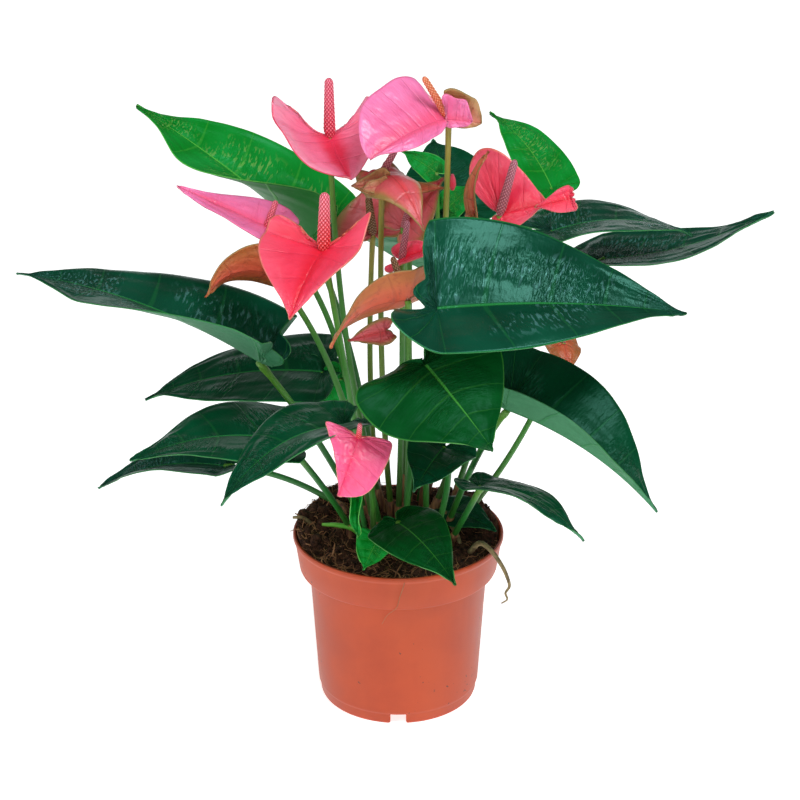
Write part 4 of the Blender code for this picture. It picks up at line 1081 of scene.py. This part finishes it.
# Lobes that roll over behind the spadix, so that a spathe shows its back beside its face.
ROLLED_LOBES = {
    "flower_2_outer_lobe": dict(
        collar=(25, -8, 343), tip=(43, -12, 342), faces=(8, -95, 15), width=(38, 8), fold=(10, 0),
        open=(10, 0), cup=(45, 0), lift=(0, 0), lobes=(0.5, 0.2), outline=SQUARE, looks=aged_tan,
        stands_for="flower_2_spathe",
    ),
    "flower_2_inner_lobe": dict(
        collar=(25, -13, 344), tip=(38, -17, 344), faces=(8, -95, 15), width=(30, 8),
        fold=(10, 0), open=(10, 0), cup=(40, 0), lift=(0, 0), lobes=(0.5, 0.2), outline=SQUARE,
        looks=pale_pink, stands_for="flower_2_spathe",
    ),
    "flower_6_outer_lobe": dict(
        collar=(-8, -20, 312), tip=(-24, -22, 311), faces=(0, -95, 20), width=(18, 18),
        fold=(10, 10), open=(10, 10), cup=(50, 50), lift=(0, 0), lobes=(0.6, 0.6), outline=HEART,
        looks=aged_tan, stands_for="flower_6_spathe",
    ),
    "flower_6_inner_lobe": dict(
        collar=(-8, -25, 312), tip=(-19, -27, 311), faces=(0, -95, 20), width=(12, 12),
        fold=(10, 10), open=(10, 10), cup=(50, 50), lift=(0, 0), lobes=(0.6, 0.6), outline=HEART,
        looks=aged_tan, stands_for="flower_6_spathe",
    ),
    "flower_8_rim": dict(
        collar=(4, 4, 301), tip=(25, 0, 303), faces=(0, -90, 30), width=(14, 6), fold=(20, 0),
        open=(20, 0), cup=(50, 0), lift=(0, 0), lobes=(0.4, 0.4), outline=HEART, looks=aged_olive,
        stands_for="flower_8_spathe",
    ),
    "flower_10_far_lobe": dict(
        collar=(-7, -18, 229), tip=(-27, -20, 224), faces=(0, -80, 50), width=(16, 14),
        fold=(10, 10), open=(10, 10), cup=(20, 20), lift=(0, 0), lobes=(0.6, 0.6), outline=HEART,
        looks=aged_red, stands_for="flower_10_spathe",
    ),
    "flower_11_olive_rim": dict(
        collar=(41, -8, 293), tip=(47, -9, 326), faces=(-80, -55, 0), width=(12, 12), arch=5,
        fold=(10, 10), open=(10, 10), cup=(60, 60), lift=(0, 0), lobes=(0.3, 0.3), outline=HEART,
        looks=aged_olive, stands_for="flower_11_spathe",
    ),
    "flower_11_near_lobe": dict(
        collar=(90, -17, 303), tip=(72, -14, 297), faces=(0, -80, 50), width=(15, 15),
        fold=(-4, -4), open=(0, 0), cup=(-30, -30), lift=(0, 0), lobes=(0.3, 0.3), outline=HEART,
        looks=coral, stands_for="flower_11_spathe",
    ),
}
for name, row in ROLLED_LOBES.items():
    row.update(quilt=0.35, dent=0.7)
    lobe = grow_blade(
        name, row, row["outline"], 44, 14, SPATHE_VEINS, SPATHE_THICKNESS, row["looks"]
    )
    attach(lobe, "root")
    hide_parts(row["stands_for"])

# ------------------------------------------------------------------------------ roots
# Corky aerial roots grow out of the crown, and one hangs over the front right of the rim. Each is
# a tapering tube along a smooth line, and a root hair hangs down the front of the pot.

cork, tree, shader = new_material("root_cork", 0.75)
bark = object_noise(tree, 260, 5, 0.65)
tone = mixed(tree, between(tree, bark, 0.3, 0.7), (0.11, 0.075, 0.03), (0.36, 0.27, 0.13))
tree.links.new(tone, shader.inputs["Base Color"])
add_bump(tree, shader, bark, 0.8)

AERIAL_ROOT = (
    (40, -28, 101), (45, -35, 110), (51, -42, 109), (57, -47, 102), (60, -50, 96), (61, -50, 91),
    (59, -50, 87), (60, -50, 83), (57, -49, 80),
)
bm = bmesh.new()
add_tube(bm, smooth_path(AERIAL_ROOT, 60), lambda t: 1.25 * (1 - t) ** 1.1 + 0.4, 10)
bmesh.ops.recalc_face_normals(bm, faces=bm.faces)
finish_piece("aerial_root_skin", bm, [cork], "root", ["aerial_root"])

# Short roots round the crown, each with its radius in millimetres.
CROWN_ROOTS = (
    (2.1, (23, 8, 103), (26, 6, 108), (28, 1, 108), (31, -8, 106), (34, -15, 102), (35, -18, 97)),
    (1.2, (40, 20, 106), (43, 15, 110), (46, 9, 109), (50, 4, 106), (53, 0, 101)),
    (1.4, (-48, 3, 101), (-54, 2, 107), (-60, 1, 108)),
    (1.0, (10, -40, 102), (16, -46, 104), (24, -48, 103), (30, -49, 100)),
)
bm = bmesh.new()
for thick, *points in CROWN_ROOTS:
    add_tube(bm, smooth_path(points, 30), lambda t, r=thick: r * (1 - 0.45 * t), 10)
bmesh.ops.recalc_face_normals(bm, faces=bm.faces)
finish_piece("crown_roots", bm, [cork], "root")

# A root hair that hangs down the outside of the pot.
ROOT_HAIR = ((4, -57, 101), (3, -60.6, 97), (1, -59.5, 90), (-1, -58, 82), (-6, -51.6, 74), (-9, -51, 68))
bm = bmesh.new()
add_tube(bm, smooth_path(ROOT_HAIR, 30), lambda t: 0.22 - 0.1 * t, 6)
bmesh.ops.recalc_face_normals(bm, faces=bm.faces)
finish_piece("root_hair", bm, [fibre], "root")

# ------------------------------------------------------------------------------ the crown
# Dry brown sheaths wrap the feet of the stems, and a pale shoot comes up at the left of them.
# A closed red bud stands high among the flowers.

sheath, tree, shader = new_material("dry_sheath", 0.7)
streak = object_noise(tree, 500, 4, 0.6, (1, 1, 0.12))
tone = mixed(tree, between(tree, streak, 0.35, 0.65), (0.10, 0.035, 0.02), (0.34, 0.17, 0.07))
tree.links.new(tone, shader.inputs["Base Color"])
add_bump(tree, shader, streak, 0.5)

bm = bmesh.new()
for row in [*LEAVES.values(), *FLOWERS.values()]:
    foot = stem_path(row, Vector(row["collar"]))[:draw.randint(5, 9)]
    add_tube(bm, foot, lambda t, r=draw.uniform(2.3, 2.9): r - 0.35 * t, 12)
bmesh.ops.recalc_face_normals(bm, faces=bm.faces)
finish_piece("stem_sheaths", bm, [sheath], "stalk")

SHOOT = ((-16, -12, 97), (-25, -10, 106), (-34, -9, 108), (-43, -8, 108))
bm = bmesh.new()
add_tube(bm, smooth_path(SHOOT, 24), lambda t: 1.8 - 0.9 * t * t, 12)
bmesh.ops.recalc_face_normals(bm, faces=bm.faces)
finish_piece("young_shoot", bm, [petiole_young], "stalk")

RED_BUD = ((29, 10, 299), (29, 10, 303), (29, 9, 308))


def bud_radius(t):
    """Full in the middle, and slimmer at the foot and the tip."""
    return 1.9 * math.sin(math.pi * (0.15 + 0.75 * t)) + 0.1


bm = bmesh.new()
add_tube(bm, smooth_path(RED_BUD, 16), bud_radius, 12)
bmesh.ops.recalc_face_normals(bm, faces=bm.faces)
finish_piece("red_bud", bm, [coral[0]], "spathe")
